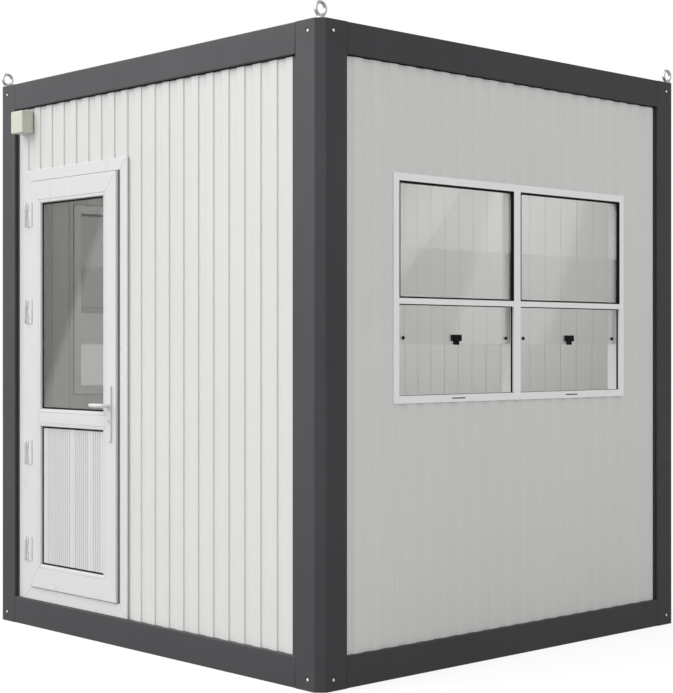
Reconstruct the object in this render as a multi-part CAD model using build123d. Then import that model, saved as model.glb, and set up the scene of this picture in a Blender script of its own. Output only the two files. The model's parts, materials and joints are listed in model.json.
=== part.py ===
from build123d import *
from math import acos, atan2, cos, hypot, sin
import os

# Insulated panel cabin: a square guard cabin of sandwich panels in a folded steel frame,
# with a half-glazed door in its left wall and a serving window in its front and back walls.
# Millimetres. +Z is up, the front wall faces -Y, and the door wall faces -X.
# The origin is on the underside of the middle floor joist, at the centre of the plan.

# Overall frame
WIDTH = 2400.0
HEIGHT = 2680.0
POST_FACE = 150.0
POST_CHAMFER = 35.0
POST_LIP = 10.0
DOOR_WALL_LIP = 30.0
TOP_RAIL_HEIGHT = 130.0
BASE_RAIL_HEIGHT = 130.0
RAIL_DEPTH = 100.0
RAIL_LIP = 20.0
STEEL = 4.0
END_PLATE = 8.0

# Sandwich panels and their ribbed skins
PANEL_RECESS = 15.0
PANEL_THICKNESS = 60.0
RIB_PITCH = 104.0
RIB_PHASE = -12.0
RIB_DEPTH = 6.0
INNER_RIB_DEPTH = 3.0
RIB_VALLEY = 40.0
RIB_RAMP = 16.0
RIB_RETURN = 2.0

# Floor and roof
JOIST_COUNT = 5
JOIST_WIDTH = 60.0
JOIST_WALL = 3.0
DECK_THICKNESS = 22.0
COVERING_THICKNESS = 4.0
ROOF_THICKNESS = 60.0
ROOF_BEARING = 20.0
ROOF_RIB_COUNT = 9
ROOF_RIB_HEIGHT = 28.0
ROOF_RIB_BASE = 60.0
ROOF_RIB_TOP = 26.0

# Door
DOOR_TO_POST = 66.0
DOOR_FRAME_WIDTH = 864.0
PANEL_OVER_DOOR = 309.0
DOOR_BORDER_HINGES = 62.0
DOOR_BORDER_LOCK = 72.0
DOOR_BORDER_TOP = 60.0
DOOR_BORDER_BOTTOM = 66.0
FRAME_PROUD = 7.0
FRAME_OVERLAP = 12.0
FRAME_STOP = 15.0
FRAME_COVER = 22.0
FRAME_COVER_THICKNESS = 5.0
SASH_GAP = 5.0
LOCK_SIDE_EXTRA = 3.0
SASH_PROUD = 12.0
SASH_FLANGE = 7.0
SASH_LIP = 10.0
SASH_DEPTH = 54.0
SASH_STILE = 85.0
SASH_TOP_RAIL = 92.0
SASH_BOTTOM_RAIL = 100.0
SASH_MID_RAIL = 52.0
SASH_MID_HEIGHT = 832.0
BEAD_WIDTH = 18.0
BEAD_DEPTH = 14.0
PANE_THICKNESS = 24.0
PANE_CHANNEL = 8.0
PANE_GAP = 4.0
INFILL_GROOVE_COUNTS = (12, 7, 4)
INFILL_PITCH = 16.7
INFILL_FLAT = 50.0
INFILL_GROOVE_WIDTH = 5.0
INFILL_GROOVE_DEPTH = 2.0

# Door hinges
HINGE_HEIGHTS = (250.0, 725.0, 1415.0, 1890.0)
HINGE_LENGTH = 120.0
HINGE_RADIUS = 10.0
HINGE_PIN_RADIUS = 4.0
HINGE_FIT = 0.05
HINGE_OFFSET = 20.0
HINGE_STANDOFF = 8.0
HINGE_LEAF = 4.0
HINGE_LEAF_WIDTH = 28.0
KNUCKLE_GAP = 0.5

# Door handle
HANDLE_HEIGHT = 971.0
HANDLE_INSET = 44.0
HANDLE_PLATE_WIDTH = 28.0
HANDLE_PLATE_BELOW = 166.0
HANDLE_PLATE_ABOVE = 93.0
HANDLE_PLATE = 8.0
KEYHOLE_DROP = 66.0
KEYHOLE_RADIUS = 9.0
LEVER_RADIUS = 9.0
LEVER_LENGTH = 102.0
LEVER_STANDOFF = 38.0
LEVER_BEND = 14.0
LEVER_CLEARANCE = 1.0
LEVER_TIP = 3.0
SPINDLE = 8.0
SPINDLE_BORE = 7.0

# Serving windows
WINDOW_CENTRE = 5.0
WINDOW_WIDTH = 1564.0
WINDOW_HEIGHT = 961.0
WINDOW_BOTTOM = 1136.0
WINDOW_MEMBER = 32.0
WINDOW_MULLION = 44.0
WINDOW_TRANSOM = 24.0
WINDOW_TRANSOM_HEIGHT = 416.0
WINDOW_PROUD = 6.0
WINDOW_OVERLAP = 12.0
WINDOW_COVER = 22.0
WINDOW_COVER_THICKNESS = 5.0
WINDOW_REVEAL = 13.0
WINDOW_PANE = 6.0
WINDOW_CHANNEL = 8.0
WINDOW_CHANNEL_GAP = 2.0
SLIDE_REVEAL = 26.0
SLIDE_HEIGHT = 405.0
SLIDE_RAISED = 249.0
WEEP_LENGTH = 85.0
WEEP_HEIGHT = 5.0
WEEP_DEPTH = 3.0
LATCH_WIDTH = 63.0
LATCH_HEIGHT = 28.0
LATCH_DEPTH = 9.0
TONGUE_WIDTH = 33.0
TONGUE_HEIGHT = 12.0
KNOB_RADIUS = 8.0
KNOB_DEPTH = 8.0
KNOB_INSET = 38.0
KNOB_RISE = 28.0

# Lifting eyes and junction box
EYE_INSET = 31.0
EYE_HOLE_RADIUS = 20.0
EYE_RING_RADIUS = 33.0
EYE_CENTRE = 39.0
EYE_THICKNESS = 16.0
EYE_NECK = 28.0
EYE_COLLAR_RADIUS = 19.0
EYE_COLLAR = 6.0
EYE_CHAMFER = 4.0
BOX_WIDTH = 102.0
BOX_HEIGHT = 108.0
BOX_DEPTH = 63.0
BOX_TO_POST = 32.0
BOX_TO_RAIL = 19.0
BOX_CHAMFER = 3.0

# Planes and lines that follow from the sizes above, in the frame of the front wall
HALF = WIDTH / 2
FACE = -HALF
CREST = FACE + PANEL_RECESS
INNER = CREST + PANEL_THICKNESS
POST_EDGE = HALF - POST_FACE
PANEL_EDGE = POST_EDGE - POST_LIP
RAIL_INNER = HALF - RAIL_DEPTH
WALL_BOTTOM = BASE_RAIL_HEIGHT
WALL_TOP = HEIGHT - TOP_RAIL_HEIGHT
TURNS = {"front": 0, "right": 90, "back": 180, "left": 270}


def block(x0, x1, y0, y1, z0, z1):
    """A box between two corners."""
    return Pos(x0, y0, z0) * Box(x1 - x0, y1 - y0, z1 - z0, align=(Align.MIN, Align.MIN, Align.MIN))


def upright(points, z0, z1):
    """A plan outline raised from z0 to z1."""
    return Pos(0, 0, z0) * extrude(make_face(Polyline(*points, close=True)), z1 - z0)


def along_y(points, y0, y1):
    """An outline in X and Z, run back from y0 to y1."""
    face = make_face(Polyline(*[(x, y0, z) for x, z in points], close=True))
    return extrude(face, y1 - y0, dir=(0, 1, 0))


def along_x(points, x0, x1):
    """An outline in Y and Z, run from x0 to x1."""
    face = make_face(Polyline(*[(x0, y, z) for y, z in points], close=True))
    return extrude(face, x1 - x0, dir=(1, 0, 0))


def rod(centre, direction, radius, length):
    """A round bar that starts at a point and runs in a direction."""
    return extrude(Plane(origin=centre, z_dir=direction) * Circle(radius), length)


def on_wall(shape, side):
    """Turn a piece drawn on the front wall to another wall."""
    return Rot(0, 0, TURNS[side]) * shape


# Steel frame

def corner_post(side_lip=POST_LIP):
    """Folded L-shaped post at the front left corner, with a lip beside each panel."""
    near = -HALF
    far = -POST_EDGE
    back = INNER
    outline = [
        (near + POST_CHAMFER, near), (far, near), (far, back), (back, back),
        (back, far), (near, far), (near, near + POST_CHAMFER),
    ]
    section = make_face(Polyline(*outline, close=True))
    hollow = offset(section, -STEEL, kind=Kind.INTERSECTION)
    post = extrude(section - hollow, HEIGHT)
    lip_front = block(far, -PANEL_EDGE, CREST, INNER, WALL_BOTTOM, WALL_TOP)
    lip_side = block(CREST, INNER, far, far + side_lip, WALL_BOTTOM, WALL_TOP)
    return post + lip_front + lip_side


def post_end_plates():
    """Plates that close the top and the foot of each post."""
    near = -HALF + STEEL
    far = -POST_EDGE - STEEL
    back = INNER - STEEL
    corner = POST_CHAMFER + STEEL * (2 ** 0.5 - 2)
    outline = [
        (near + corner, near), (far, near), (far, back), (back, back),
        (back, far), (near, far), (near, near + corner),
    ]
    foot = upright(outline, 0, END_PLATE)
    top = upright(outline, HEIGHT - END_PLATE, HEIGHT)
    return [Rot(0, 0, turn) * plate for turn in TURNS.values() for plate in (foot, top)]


def channel_rail(z0, z1):
    """Folded channel between two posts, its web outside and its lips inside."""
    outer = FACE
    inner = -RAIL_INNER
    outline = [
        (outer, z0), (inner, z0), (inner, z0 + RAIL_LIP), (inner - STEEL, z0 + RAIL_LIP),
        (inner - STEEL, z0 + STEEL), (outer + STEEL, z0 + STEEL), (outer + STEEL, z1 - STEEL),
        (inner - STEEL, z1 - STEEL), (inner - STEEL, z1 - RAIL_LIP), (inner, z1 - RAIL_LIP),
        (inner, z1), (outer, z1),
    ]
    return along_x(outline, -POST_EDGE, POST_EDGE)


def lifting_eye():
    """Forged eye with a round hole, its flanks tangent to the ring and drawn in to a neck."""
    x = -HALF + EYE_INSET
    y = -HALF + EYE_INSET
    half = EYE_NECK / 2
    reach = hypot(half, EYE_CENTRE)
    turn = acos(EYE_RING_RADIUS / reach) - atan2(EYE_CENTRE, half)
    shoulder = (EYE_RING_RADIUS * cos(turn), EYE_CENTRE + EYE_RING_RADIUS * sin(turn))
    neck = Polyline(
        (-half, 0), (half, 0), shoulder, (0, EYE_CENTRE), (-shoulder[0], shoulder[1]), close=True)
    outline = Pos(0, EYE_CENTRE) * Circle(EYE_RING_RADIUS) + make_face(neck)
    front = Plane(origin=(x, y - EYE_THICKNESS / 2, HEIGHT), x_dir=(1, 0, 0), z_dir=(0, -1, 0))
    eye = extrude(front * outline, -EYE_THICKNESS)
    rims = [e for e in eye.edges().filter_by(GeomType.CIRCLE) + eye.edges().filter_by(GeomType.LINE)
            if abs(abs(e.center().Y - y) - EYE_THICKNESS / 2) < 0.01 and e.center().Z > HEIGHT + 1]
    eye = chamfer(rims, EYE_CHAMFER)
    eye -= rod((x, y - EYE_THICKNESS, HEIGHT + EYE_CENTRE), (0, 1, 0), EYE_HOLE_RADIUS, 2 * EYE_THICKNESS)
    return eye + rod((x, y, HEIGHT), (0, 0, 1), EYE_COLLAR_RADIUS, EYE_COLLAR)


def lifting_eyes():
    """One eye on each post. The rings of all four stand parallel to the front wall."""
    eye = lifting_eye()
    shift = WIDTH - 2 * EYE_INSET
    return [Pos(i * shift, j * shift, 0) * eye for i in (0, 1) for j in (0, 1)]


# Panels

def rib_height(x):
    """Height of the skin over its valleys at x, as a share of the rib's depth."""
    t = (x - RIB_PHASE) % RIB_PITCH
    crest_end = RIB_PITCH - RIB_RETURN
    if t < RIB_VALLEY:
        return 0.0
    if t < RIB_VALLEY + RIB_RAMP:
        return (t - RIB_VALLEY) / RIB_RAMP
    if t < crest_end:
        return 1.0
    return (RIB_PITCH - t) / RIB_RETURN


def rib_line(x0, x1):
    """Corners of the ribbed skin between x0 and x1, as (x, height share)."""
    first = int((x0 - RIB_PHASE) // RIB_PITCH)
    last = int((x1 - RIB_PHASE) // RIB_PITCH)
    corners = []
    for i in range(first, last + 1):
        start = RIB_PHASE + i * RIB_PITCH
        for t in (0.0, RIB_VALLEY, RIB_VALLEY + RIB_RAMP, RIB_PITCH - RIB_RETURN):
            if x0 + 0.5 < start + t < x1 - 0.5:
                corners.append(start + t)
    line = [x0] + corners + [x1]
    return [(x, rib_height(x)) for x in line]


def ribbed_panel(x0, x1, z0, z1):
    """Sandwich panel of the front wall, with vertical ribs in both skins."""
    line = rib_line(x0, x1)
    outside = [(x, CREST + (1 - h) * RIB_DEPTH) for x, h in line]
    inside = [(x, INNER - (1 - h) * INNER_RIB_DEPTH) for x, h in reversed(line)]
    return upright(outside + inside, z0, z1)


def window_opening():
    """Sides, sill and head of the hole that a window's frame fills."""
    half = WINDOW_WIDTH / 2 - WINDOW_OVERLAP
    low = WINDOW_BOTTOM + WINDOW_OVERLAP
    high = WINDOW_BOTTOM + WINDOW_HEIGHT - WINDOW_OVERLAP
    return WINDOW_CENTRE - half, WINDOW_CENTRE + half, low, high


def window_wall():
    """The four panels round a window."""
    left, right, low, high = window_opening()
    return {
        "left": ribbed_panel(-PANEL_EDGE, left, WALL_BOTTOM, WALL_TOP),
        "right": ribbed_panel(right, PANEL_EDGE, WALL_BOTTOM, WALL_TOP),
        "below_window": ribbed_panel(left, right, WALL_BOTTOM, low),
        "above_window": ribbed_panel(left, right, high, WALL_TOP),
    }


def door_opening():
    """Sides and head of the hole that the door's frame fills."""
    return FRAME_LEFT + FRAME_OVERLAP, FRAME_RIGHT - FRAME_OVERLAP, FRAME_TOP - FRAME_OVERLAP


def door_wall():
    """The panels beside and over the door."""
    left, right, head = door_opening()
    return {
        "beside_hinges": ribbed_panel(-PANEL_EDGE, left, WALL_BOTTOM, WALL_TOP),
        "beside_lock": ribbed_panel(right, POST_EDGE - DOOR_WALL_LIP, WALL_BOTTOM, WALL_TOP),
        "over_door": ribbed_panel(left, right, head, WALL_TOP),
    }


# Floor and roof

def floor_joists():
    """Box joists between the side rails, flush with the rails' undersides."""
    reach = RAIL_INNER - STEEL
    top = BASE_RAIL_HEIGHT - COVERING_THICKNESS - DECK_THICKNESS
    span = RAIL_INNER - JOIST_WIDTH
    joists = []
    for i in range(JOIST_COUNT):
        y = -span + i * 2 * span / (JOIST_COUNT - 1)
        half = JOIST_WIDTH / 2
        tube = block(-reach, reach, y - half, y + half, 0, top)
        hollow = block(-reach, reach, y - half + JOIST_WALL, y + half - JOIST_WALL, JOIST_WALL, top - JOIST_WALL)
        joists.append(tube - hollow)
    return joists


def floor_deck():
    reach = RAIL_INNER - STEEL
    top = BASE_RAIL_HEIGHT - COVERING_THICKNESS
    return block(-reach, reach, -reach, reach, top - DECK_THICKNESS, top)


def floor_covering():
    reach = RAIL_INNER - STEEL
    top = BASE_RAIL_HEIGHT
    return block(-reach, reach, -reach, reach, top - COVERING_THICKNESS, top)


def roof_panel():
    """Sandwich roof with trapezoidal ribs, resting on the lower lips of the top rails."""
    reach = RAIL_INNER + ROOF_BEARING
    bottom = WALL_TOP + RAIL_LIP
    sheet = bottom + ROOF_THICKNESS
    outline = [(-reach, bottom), (reach, bottom), (reach, sheet)]
    pitch = 2 * reach / ROOF_RIB_COUNT
    for i in reversed(range(ROOF_RIB_COUNT)):
        x = -reach + (i + 0.5) * pitch
        outline += [
            (x + ROOF_RIB_BASE / 2, sheet), (x + ROOF_RIB_TOP / 2, sheet + ROOF_RIB_HEIGHT),
            (x - ROOF_RIB_TOP / 2, sheet + ROOF_RIB_HEIGHT), (x - ROOF_RIB_BASE / 2, sheet),
        ]
    outline.append((-reach, sheet))
    return along_y(outline, -reach, reach)


# Door, drawn on the front wall and turned to the left wall

FRAME_LEFT = -PANEL_EDGE + DOOR_TO_POST
FRAME_RIGHT = FRAME_LEFT + DOOR_FRAME_WIDTH
FRAME_BOTTOM = WALL_BOTTOM
FRAME_TOP = WALL_TOP - PANEL_OVER_DOOR
FRAME_FACE = CREST - FRAME_PROUD
SASH_LEFT = FRAME_LEFT + DOOR_BORDER_HINGES
SASH_RIGHT = FRAME_RIGHT - DOOR_BORDER_LOCK
SASH_BOTTOM = FRAME_BOTTOM + DOOR_BORDER_BOTTOM
SASH_TOP = FRAME_TOP - DOOR_BORDER_TOP
SASH_FACE = FRAME_FACE - SASH_PROUD
SASH_BACK = SASH_FACE + SASH_DEPTH
GLASS_BOTTOM = SASH_BOTTOM + SASH_MID_HEIGHT + SASH_MID_RAIL / 2
INFILL_TOP = SASH_BOTTOM + SASH_MID_HEIGHT - SASH_MID_RAIL / 2
HINGE_X = SASH_LEFT - HINGE_OFFSET
HINGE_Y = SASH_FACE - HINGE_STANDOFF
LEVER_X = SASH_RIGHT - HANDLE_INSET
LEVER_Z = WALL_BOTTOM + HANDLE_HEIGHT


def door_frame():
    """Frame with a flange over the panels outside, a cover inside, and a stop behind the sash."""
    left, right, head = door_opening()
    stop = SASH_BACK + SASH_GAP
    back = INNER + FRAME_COVER_THICKNESS
    lip = SASH_LIP - SASH_GAP
    flange = block(FRAME_LEFT, FRAME_RIGHT, FRAME_FACE, CREST, FRAME_BOTTOM, FRAME_TOP)
    body = block(left, right, CREST, back, FRAME_BOTTOM, head)
    cover = block(left - FRAME_COVER, right + FRAME_COVER, INNER, back, FRAME_BOTTOM, head + FRAME_COVER)
    rebate = block(
        SASH_LEFT + lip, SASH_RIGHT - lip, FRAME_FACE, stop, SASH_BOTTOM + lip, SASH_TOP - lip)
    way = block(
        SASH_LEFT + lip + FRAME_STOP, SASH_RIGHT - lip - FRAME_STOP, stop, back,
        SASH_BOTTOM + lip + FRAME_STOP, SASH_TOP - lip - FRAME_STOP)
    return flange + body + cover - rebate - way


def sash_opening(z0, z1, x0=None, x1=None):
    """The hole for a pane: bevelled bead outside, channel for the pane, clear hole inside."""
    x0 = SASH_LEFT + SASH_STILE if x0 is None else x0
    x1 = SASH_RIGHT - SASH_STILE if x1 is None else x1
    pane_face = SASH_FACE + BEAD_DEPTH
    outer = Plane(origin=(0, SASH_FACE, 0), x_dir=(1, 0, 0), z_dir=(0, -1, 0))
    inner = Plane(origin=(0, pane_face, 0), x_dir=(1, 0, 0), z_dir=(0, -1, 0))
    middle = ((x0 + x1) / 2, (z0 + z1) / 2)
    wide = Pos(*middle) * Rectangle(x1 - x0, z1 - z0)
    narrow = Pos(*middle) * Rectangle(x1 - x0 - 2 * BEAD_WIDTH, z1 - z0 - 2 * BEAD_WIDTH)
    bevel = loft([outer * wide, inner * narrow])
    channel = block(
        x0 - PANE_CHANNEL, x1 + PANE_CHANNEL, pane_face, pane_face + PANE_THICKNESS,
        z0 - PANE_CHANNEL, z1 + PANE_CHANNEL)
    clear = block(
        x0 + BEAD_WIDTH, x1 - BEAD_WIDTH, pane_face, SASH_BACK, z0 + BEAD_WIDTH, z1 - BEAD_WIDTH)
    return bevel + channel + clear


def door_sash():
    """Welded sash: its flange laps over the frame, and its body stands in the frame's rebate."""
    flange = block(SASH_LEFT, SASH_RIGHT, SASH_FACE, SASH_FACE + SASH_FLANGE, SASH_BOTTOM, SASH_TOP)
    body = block(
        SASH_LEFT + SASH_LIP, SASH_RIGHT - SASH_LIP - LOCK_SIDE_EXTRA, SASH_FACE + SASH_FLANGE, SASH_BACK,
        SASH_BOTTOM + SASH_LIP, SASH_TOP - SASH_LIP)
    sash = flange + body
    sash -= sash_opening(GLASS_BOTTOM, SASH_TOP - SASH_TOP_RAIL)
    sash -= sash_opening(SASH_BOTTOM + SASH_BOTTOM_RAIL, INFILL_TOP)
    sash -= rod((LEVER_X, SASH_FACE - SASH_DEPTH, LEVER_Z), (0, 1, 0), SPINDLE_BORE, 3 * SASH_DEPTH)
    return sash


def door_glass():
    """Sealed unit that stands in the upper channel of the sash."""
    edge = PANE_CHANNEL - PANE_GAP
    face = SASH_FACE + BEAD_DEPTH
    return block(
        SASH_LEFT + SASH_STILE - edge, SASH_RIGHT - SASH_STILE + edge, face, face + PANE_THICKNESS,
        GLASS_BOTTOM - edge, SASH_TOP - SASH_TOP_RAIL + edge)


def infill_grooves():
    """Middles of the grooves: groups of grooves with flat strips between, centred between the stiles."""
    gaps = []
    for count in INFILL_GROOVE_COUNTS:
        gaps += [INFILL_PITCH] * (count - 1) + [INFILL_FLAT]
    gaps.pop()
    x = (SASH_LEFT + SASH_RIGHT - sum(gaps)) / 2
    middles = [x]
    for gap in gaps:
        x += gap
        middles.append(x)
    return middles


def door_infill():
    """Insulated panel with vertical grooves in both of its skins."""
    edge = SASH_STILE - PANE_CHANNEL + PANE_GAP
    left = SASH_LEFT + edge
    right = SASH_RIGHT - edge
    half = INFILL_GROOVE_WIDTH / 2
    line = [(left, 0)]
    for x in infill_grooves():
        line += [(x - half, 0), (x, INFILL_GROOVE_DEPTH), (x + half, 0)]
    line.append((right, 0))
    face = SASH_FACE + BEAD_DEPTH
    back = face + PANE_THICKNESS
    outline = [(x, face + depth) for x, depth in line] + [(x, back - depth) for x, depth in reversed(line)]
    reach = PANE_CHANNEL - PANE_GAP
    return upright(outline, SASH_BOTTOM + SASH_BOTTOM_RAIL - reach, INFILL_TOP + reach)


def barrel(z0, z1, radius):
    """Round piece on the axis of the hinges."""
    return rod((HINGE_X, HINGE_Y, z0), (0, 0, 1), radius, z1 - z0)


def hinge_frame_leaves():
    """Leaf on the frame with the pin, held in the upper and lower knuckle of each hinge."""
    leaves = []
    for height in HINGE_HEIGHTS:
        z = WALL_BOTTOM + height
        low = z - HINGE_LENGTH / 2
        high = z + HINGE_LENGTH / 2
        third = HINGE_LENGTH / 6
        leaf = block(HINGE_X - HINGE_LEAF_WIDTH, HINGE_X, FRAME_FACE - HINGE_LEAF, FRAME_FACE, low, high)
        for z0, z1 in ((low, z - third - KNUCKLE_GAP), (z + third + KNUCKLE_GAP, high)):
            leaf += block(HINGE_X - HINGE_RADIUS, HINGE_X, HINGE_Y, FRAME_FACE, z0, z1)
            leaf += barrel(z0, z1, HINGE_RADIUS)
        leaves.append(leaf + barrel(low, high, HINGE_PIN_RADIUS))
    return leaves


def hinge_sash_leaves():
    """Leaf on the sash with the middle knuckle of each hinge."""
    leaves = []
    bore = HINGE_PIN_RADIUS + HINGE_FIT
    for height in HINGE_HEIGHTS:
        z = WALL_BOTTOM + height
        third = HINGE_LENGTH / 6
        edge = SASH_LEFT
        plate = block(
            edge, edge + HINGE_LEAF_WIDTH, SASH_FACE - HINGE_LEAF, SASH_FACE,
            z - HINGE_LENGTH / 2, z + HINGE_LENGTH / 2)
        arm = block(HINGE_X, edge, SASH_FACE - HINGE_LEAF, SASH_FACE, z - third, z + third)
        knuckle = arm + barrel(z - third, z + third, HINGE_RADIUS)
        leaves.append(plate + knuckle - barrel(z - third, z + third, bore))
    return leaves


def handle_plate(face, outwards):
    """Long narrow backplate with a round keyhole boss, on one face of the sash."""
    half = HANDLE_PLATE_WIDTH / 2
    y0, y1 = sorted((face, face + outwards * HANDLE_PLATE))
    plate = block(
        LEVER_X - half, LEVER_X + half, y0, y1, LEVER_Z - HANDLE_PLATE_BELOW, LEVER_Z + HANDLE_PLATE_ABOVE)
    plate = fillet(plate.edges().filter_by(Axis.Y), half * 0.4)
    plate -= rod((LEVER_X, y0, LEVER_Z), (0, 1, 0), SPINDLE_BORE, HANDLE_PLATE)
    boss_z = LEVER_Z - KEYHOLE_DROP
    boss = rod((LEVER_X, face, boss_z), (0, outwards, 0), KEYHOLE_RADIUS, HANDLE_PLATE + 2)
    return plate + boss


def handle_plates():
    return [handle_plate(SASH_FACE, -1), handle_plate(SASH_BACK, 1)]


def lever(face, outwards):
    """Round lever: a neck out of the plate, a mitred bend and a grip that points to the hinges."""
    start = face + outwards * (HANDLE_PLATE + LEVER_CLEARANCE)
    level = face + outwards * (HANDLE_PLATE + LEVER_STANDOFF)
    turn = level - outwards * LEVER_BEND
    path = Polyline(
        (LEVER_X, start, LEVER_Z), (LEVER_X, turn, LEVER_Z), (LEVER_X - LEVER_BEND, level, LEVER_Z),
        (LEVER_X - LEVER_LENGTH, level, LEVER_Z))
    section = Plane(origin=(LEVER_X, start, LEVER_Z), z_dir=(0, outwards, 0)) * Circle(LEVER_RADIUS)
    bar = sweep(section, path=path, transition=Transition.RIGHT)
    tip = bar.faces().sort_by(Axis.X)[0]
    return chamfer(tip.edges(), LEVER_TIP)


def spindle():
    """Square bar through the sash, fixed to the lever outside."""
    start = SASH_FACE - HANDLE_PLATE - LEVER_CLEARANCE
    end = SASH_BACK + HANDLE_PLATE + LEVER_CLEARANCE
    half = SPINDLE / 2
    return block(LEVER_X - half, LEVER_X + half, start, end, LEVER_Z - half, LEVER_Z + half)


# Serving window, drawn on the front wall

WINDOW_LEFT = WINDOW_CENTRE - WINDOW_WIDTH / 2
WINDOW_RIGHT = WINDOW_CENTRE + WINDOW_WIDTH / 2
WINDOW_TOP = WINDOW_BOTTOM + WINDOW_HEIGHT
WINDOW_FACE = CREST - WINDOW_PROUD
WINDOW_BACK = INNER + WINDOW_COVER_THICKNESS
FIXED_FACE = WINDOW_FACE + WINDOW_REVEAL
SLIDE_FACE = WINDOW_FACE + SLIDE_REVEAL
TRANSOM_LOW = WINDOW_BOTTOM + WINDOW_TRANSOM_HEIGHT
TRANSOM_HIGH = TRANSOM_LOW + WINDOW_TRANSOM
SLIDE_BOTTOM = WINDOW_BOTTOM + SLIDE_RAISED


def window_bays():
    """Left and right edges of the clear width of each bay."""
    half = WINDOW_MULLION / 2
    return [
        (WINDOW_LEFT + WINDOW_MEMBER, WINDOW_CENTRE - half),
        (WINDOW_CENTRE + half, WINDOW_RIGHT - WINDOW_MEMBER),
    ]


def window_frame():
    """Frame with a mullion, a transom, channels for fixed panes and tracks for sliding panes."""
    left, right, low, high = window_opening()
    frame = block(WINDOW_LEFT, WINDOW_RIGHT, WINDOW_FACE, CREST, WINDOW_BOTTOM, WINDOW_TOP)
    frame += block(left, right, CREST, INNER, low, high)
    frame += block(
        left - WINDOW_COVER, right + WINDOW_COVER, INNER, WINDOW_BACK, low - WINDOW_COVER, high + WINDOW_COVER)
    sill = WINDOW_BOTTOM + WINDOW_MEMBER
    head = WINDOW_TOP - WINDOW_MEMBER
    transom_back = SLIDE_FACE - WINDOW_CHANNEL_GAP
    fixed_back = FIXED_FACE + WINDOW_PANE
    deep = WINDOW_CHANNEL
    for x0, x1 in window_bays():
        frame -= block(x0, x1, WINDOW_FACE, WINDOW_BACK, sill, TRANSOM_LOW)
        frame -= block(x0, x1, WINDOW_FACE, WINDOW_BACK, TRANSOM_HIGH, head)
        frame -= block(x0, x1, transom_back, WINDOW_BACK, TRANSOM_LOW, TRANSOM_HIGH)
        frame -= block(x0 - deep, x1 + deep, FIXED_FACE, fixed_back, TRANSOM_HIGH - deep, head + deep)
        frame -= block(
            x0 - deep, x1 + deep, SLIDE_FACE - WINDOW_CHANNEL_GAP, SLIDE_FACE + WINDOW_PANE + WINDOW_CHANNEL_GAP,
            sill, head)
        middle = (x0 + x1) / 2
        weep = WINDOW_BOTTOM + WINDOW_MEMBER / 2
        frame -= block(
            middle - WEEP_LENGTH / 2, middle + WEEP_LENGTH / 2, WINDOW_FACE, WINDOW_FACE + WEEP_DEPTH,
            weep - WEEP_HEIGHT / 2, weep + WEEP_HEIGHT / 2)
    return frame


def fixed_panes():
    edge = WINDOW_CHANNEL - WINDOW_CHANNEL_GAP
    return [
        block(
            x0 - edge, x1 + edge, FIXED_FACE, FIXED_FACE + WINDOW_PANE,
            TRANSOM_HIGH - edge, WINDOW_TOP - WINDOW_MEMBER + edge)
        for x0, x1 in window_bays()]


def sliding_panes():
    """Frameless panes in their side tracks, raised over the serving gaps."""
    edge = WINDOW_CHANNEL - WINDOW_CHANNEL_GAP
    return [
        block(
            x0 - edge, x1 + edge, SLIDE_FACE, SLIDE_FACE + WINDOW_PANE,
            SLIDE_BOTTOM, SLIDE_BOTTOM + SLIDE_HEIGHT)
        for x0, x1 in window_bays()]


def window_latches():
    """A latch with its tongue at the foot of each sliding pane, and a knob near each corner."""
    pieces = []
    front = SLIDE_FACE - LATCH_DEPTH
    for x0, x1 in window_bays():
        middle = (x0 + x1) / 2
        low = SLIDE_BOTTOM
        latch = block(
            middle - LATCH_WIDTH / 2, middle + LATCH_WIDTH / 2, front, SLIDE_FACE,
            low + TONGUE_HEIGHT, low + TONGUE_HEIGHT + LATCH_HEIGHT)
        latch += block(
            middle - TONGUE_WIDTH / 2, middle + TONGUE_WIDTH / 2, front, SLIDE_FACE, low, low + TONGUE_HEIGHT)
        pieces.append(latch)
        for x in (x0 + KNOB_INSET, x1 - KNOB_INSET):
            pieces.append(rod((x, SLIDE_FACE, low + KNOB_RISE), (0, -1, 0), KNOB_RADIUS, KNOB_DEPTH))
    return pieces


def junction_box():
    """Cable box on the door wall, high beside the far post."""
    left = -PANEL_EDGE + BOX_TO_POST
    top = WALL_TOP - BOX_TO_RAIL
    box = block(left, left + BOX_WIDTH, CREST - BOX_DEPTH, CREST, top - BOX_HEIGHT, top)
    front = [e for e in box.edges() if e.center().Y < CREST - 1]
    return chamfer(front, BOX_CHAMFER)


# The whole cabin, node by node

nodes = {}
nodes["post_front_left"] = [corner_post(DOOR_WALL_LIP)]
post = corner_post()
for name, turn in (("front_right", 90), ("back_right", 180), ("back_left", 270)):
    nodes["post_" + name] = [Rot(0, 0, turn) * post]
nodes["post_end_plates"] = post_end_plates()
for side in TURNS:
    nodes["top_rail_" + side] = [on_wall(channel_rail(WALL_TOP, HEIGHT), side)]
    nodes["base_rail_" + side] = [on_wall(channel_rail(0, BASE_RAIL_HEIGHT), side)]
nodes["lifting_eyes"] = lifting_eyes()

nodes["floor_joists"] = floor_joists()
nodes["floor_deck"] = [floor_deck()]
nodes["floor_covering"] = [floor_covering()]
nodes["roof_panel"] = [roof_panel()]

window_sides = ("front", "back")
for side in window_sides:
    for place, panel in window_wall().items():
        nodes[side + "_wall_" + place] = [on_wall(panel, side)]
    nodes[side + "_window_frame"] = [on_wall(window_frame(), side)]
window_pieces = {
    "window_fixed_panes": fixed_panes(),
    "window_sliding_panes": sliding_panes(),
    "window_latches": window_latches(),
}
for name, pieces in window_pieces.items():
    nodes[name] = [on_wall(piece, side) for side in window_sides for piece in pieces]
nodes["right_wall"] = [on_wall(ribbed_panel(-PANEL_EDGE, PANEL_EDGE, WALL_BOTTOM, WALL_TOP), "right")]
for place, panel in door_wall().items():
    nodes["door_wall_" + place] = [on_wall(panel, "left")]

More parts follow.
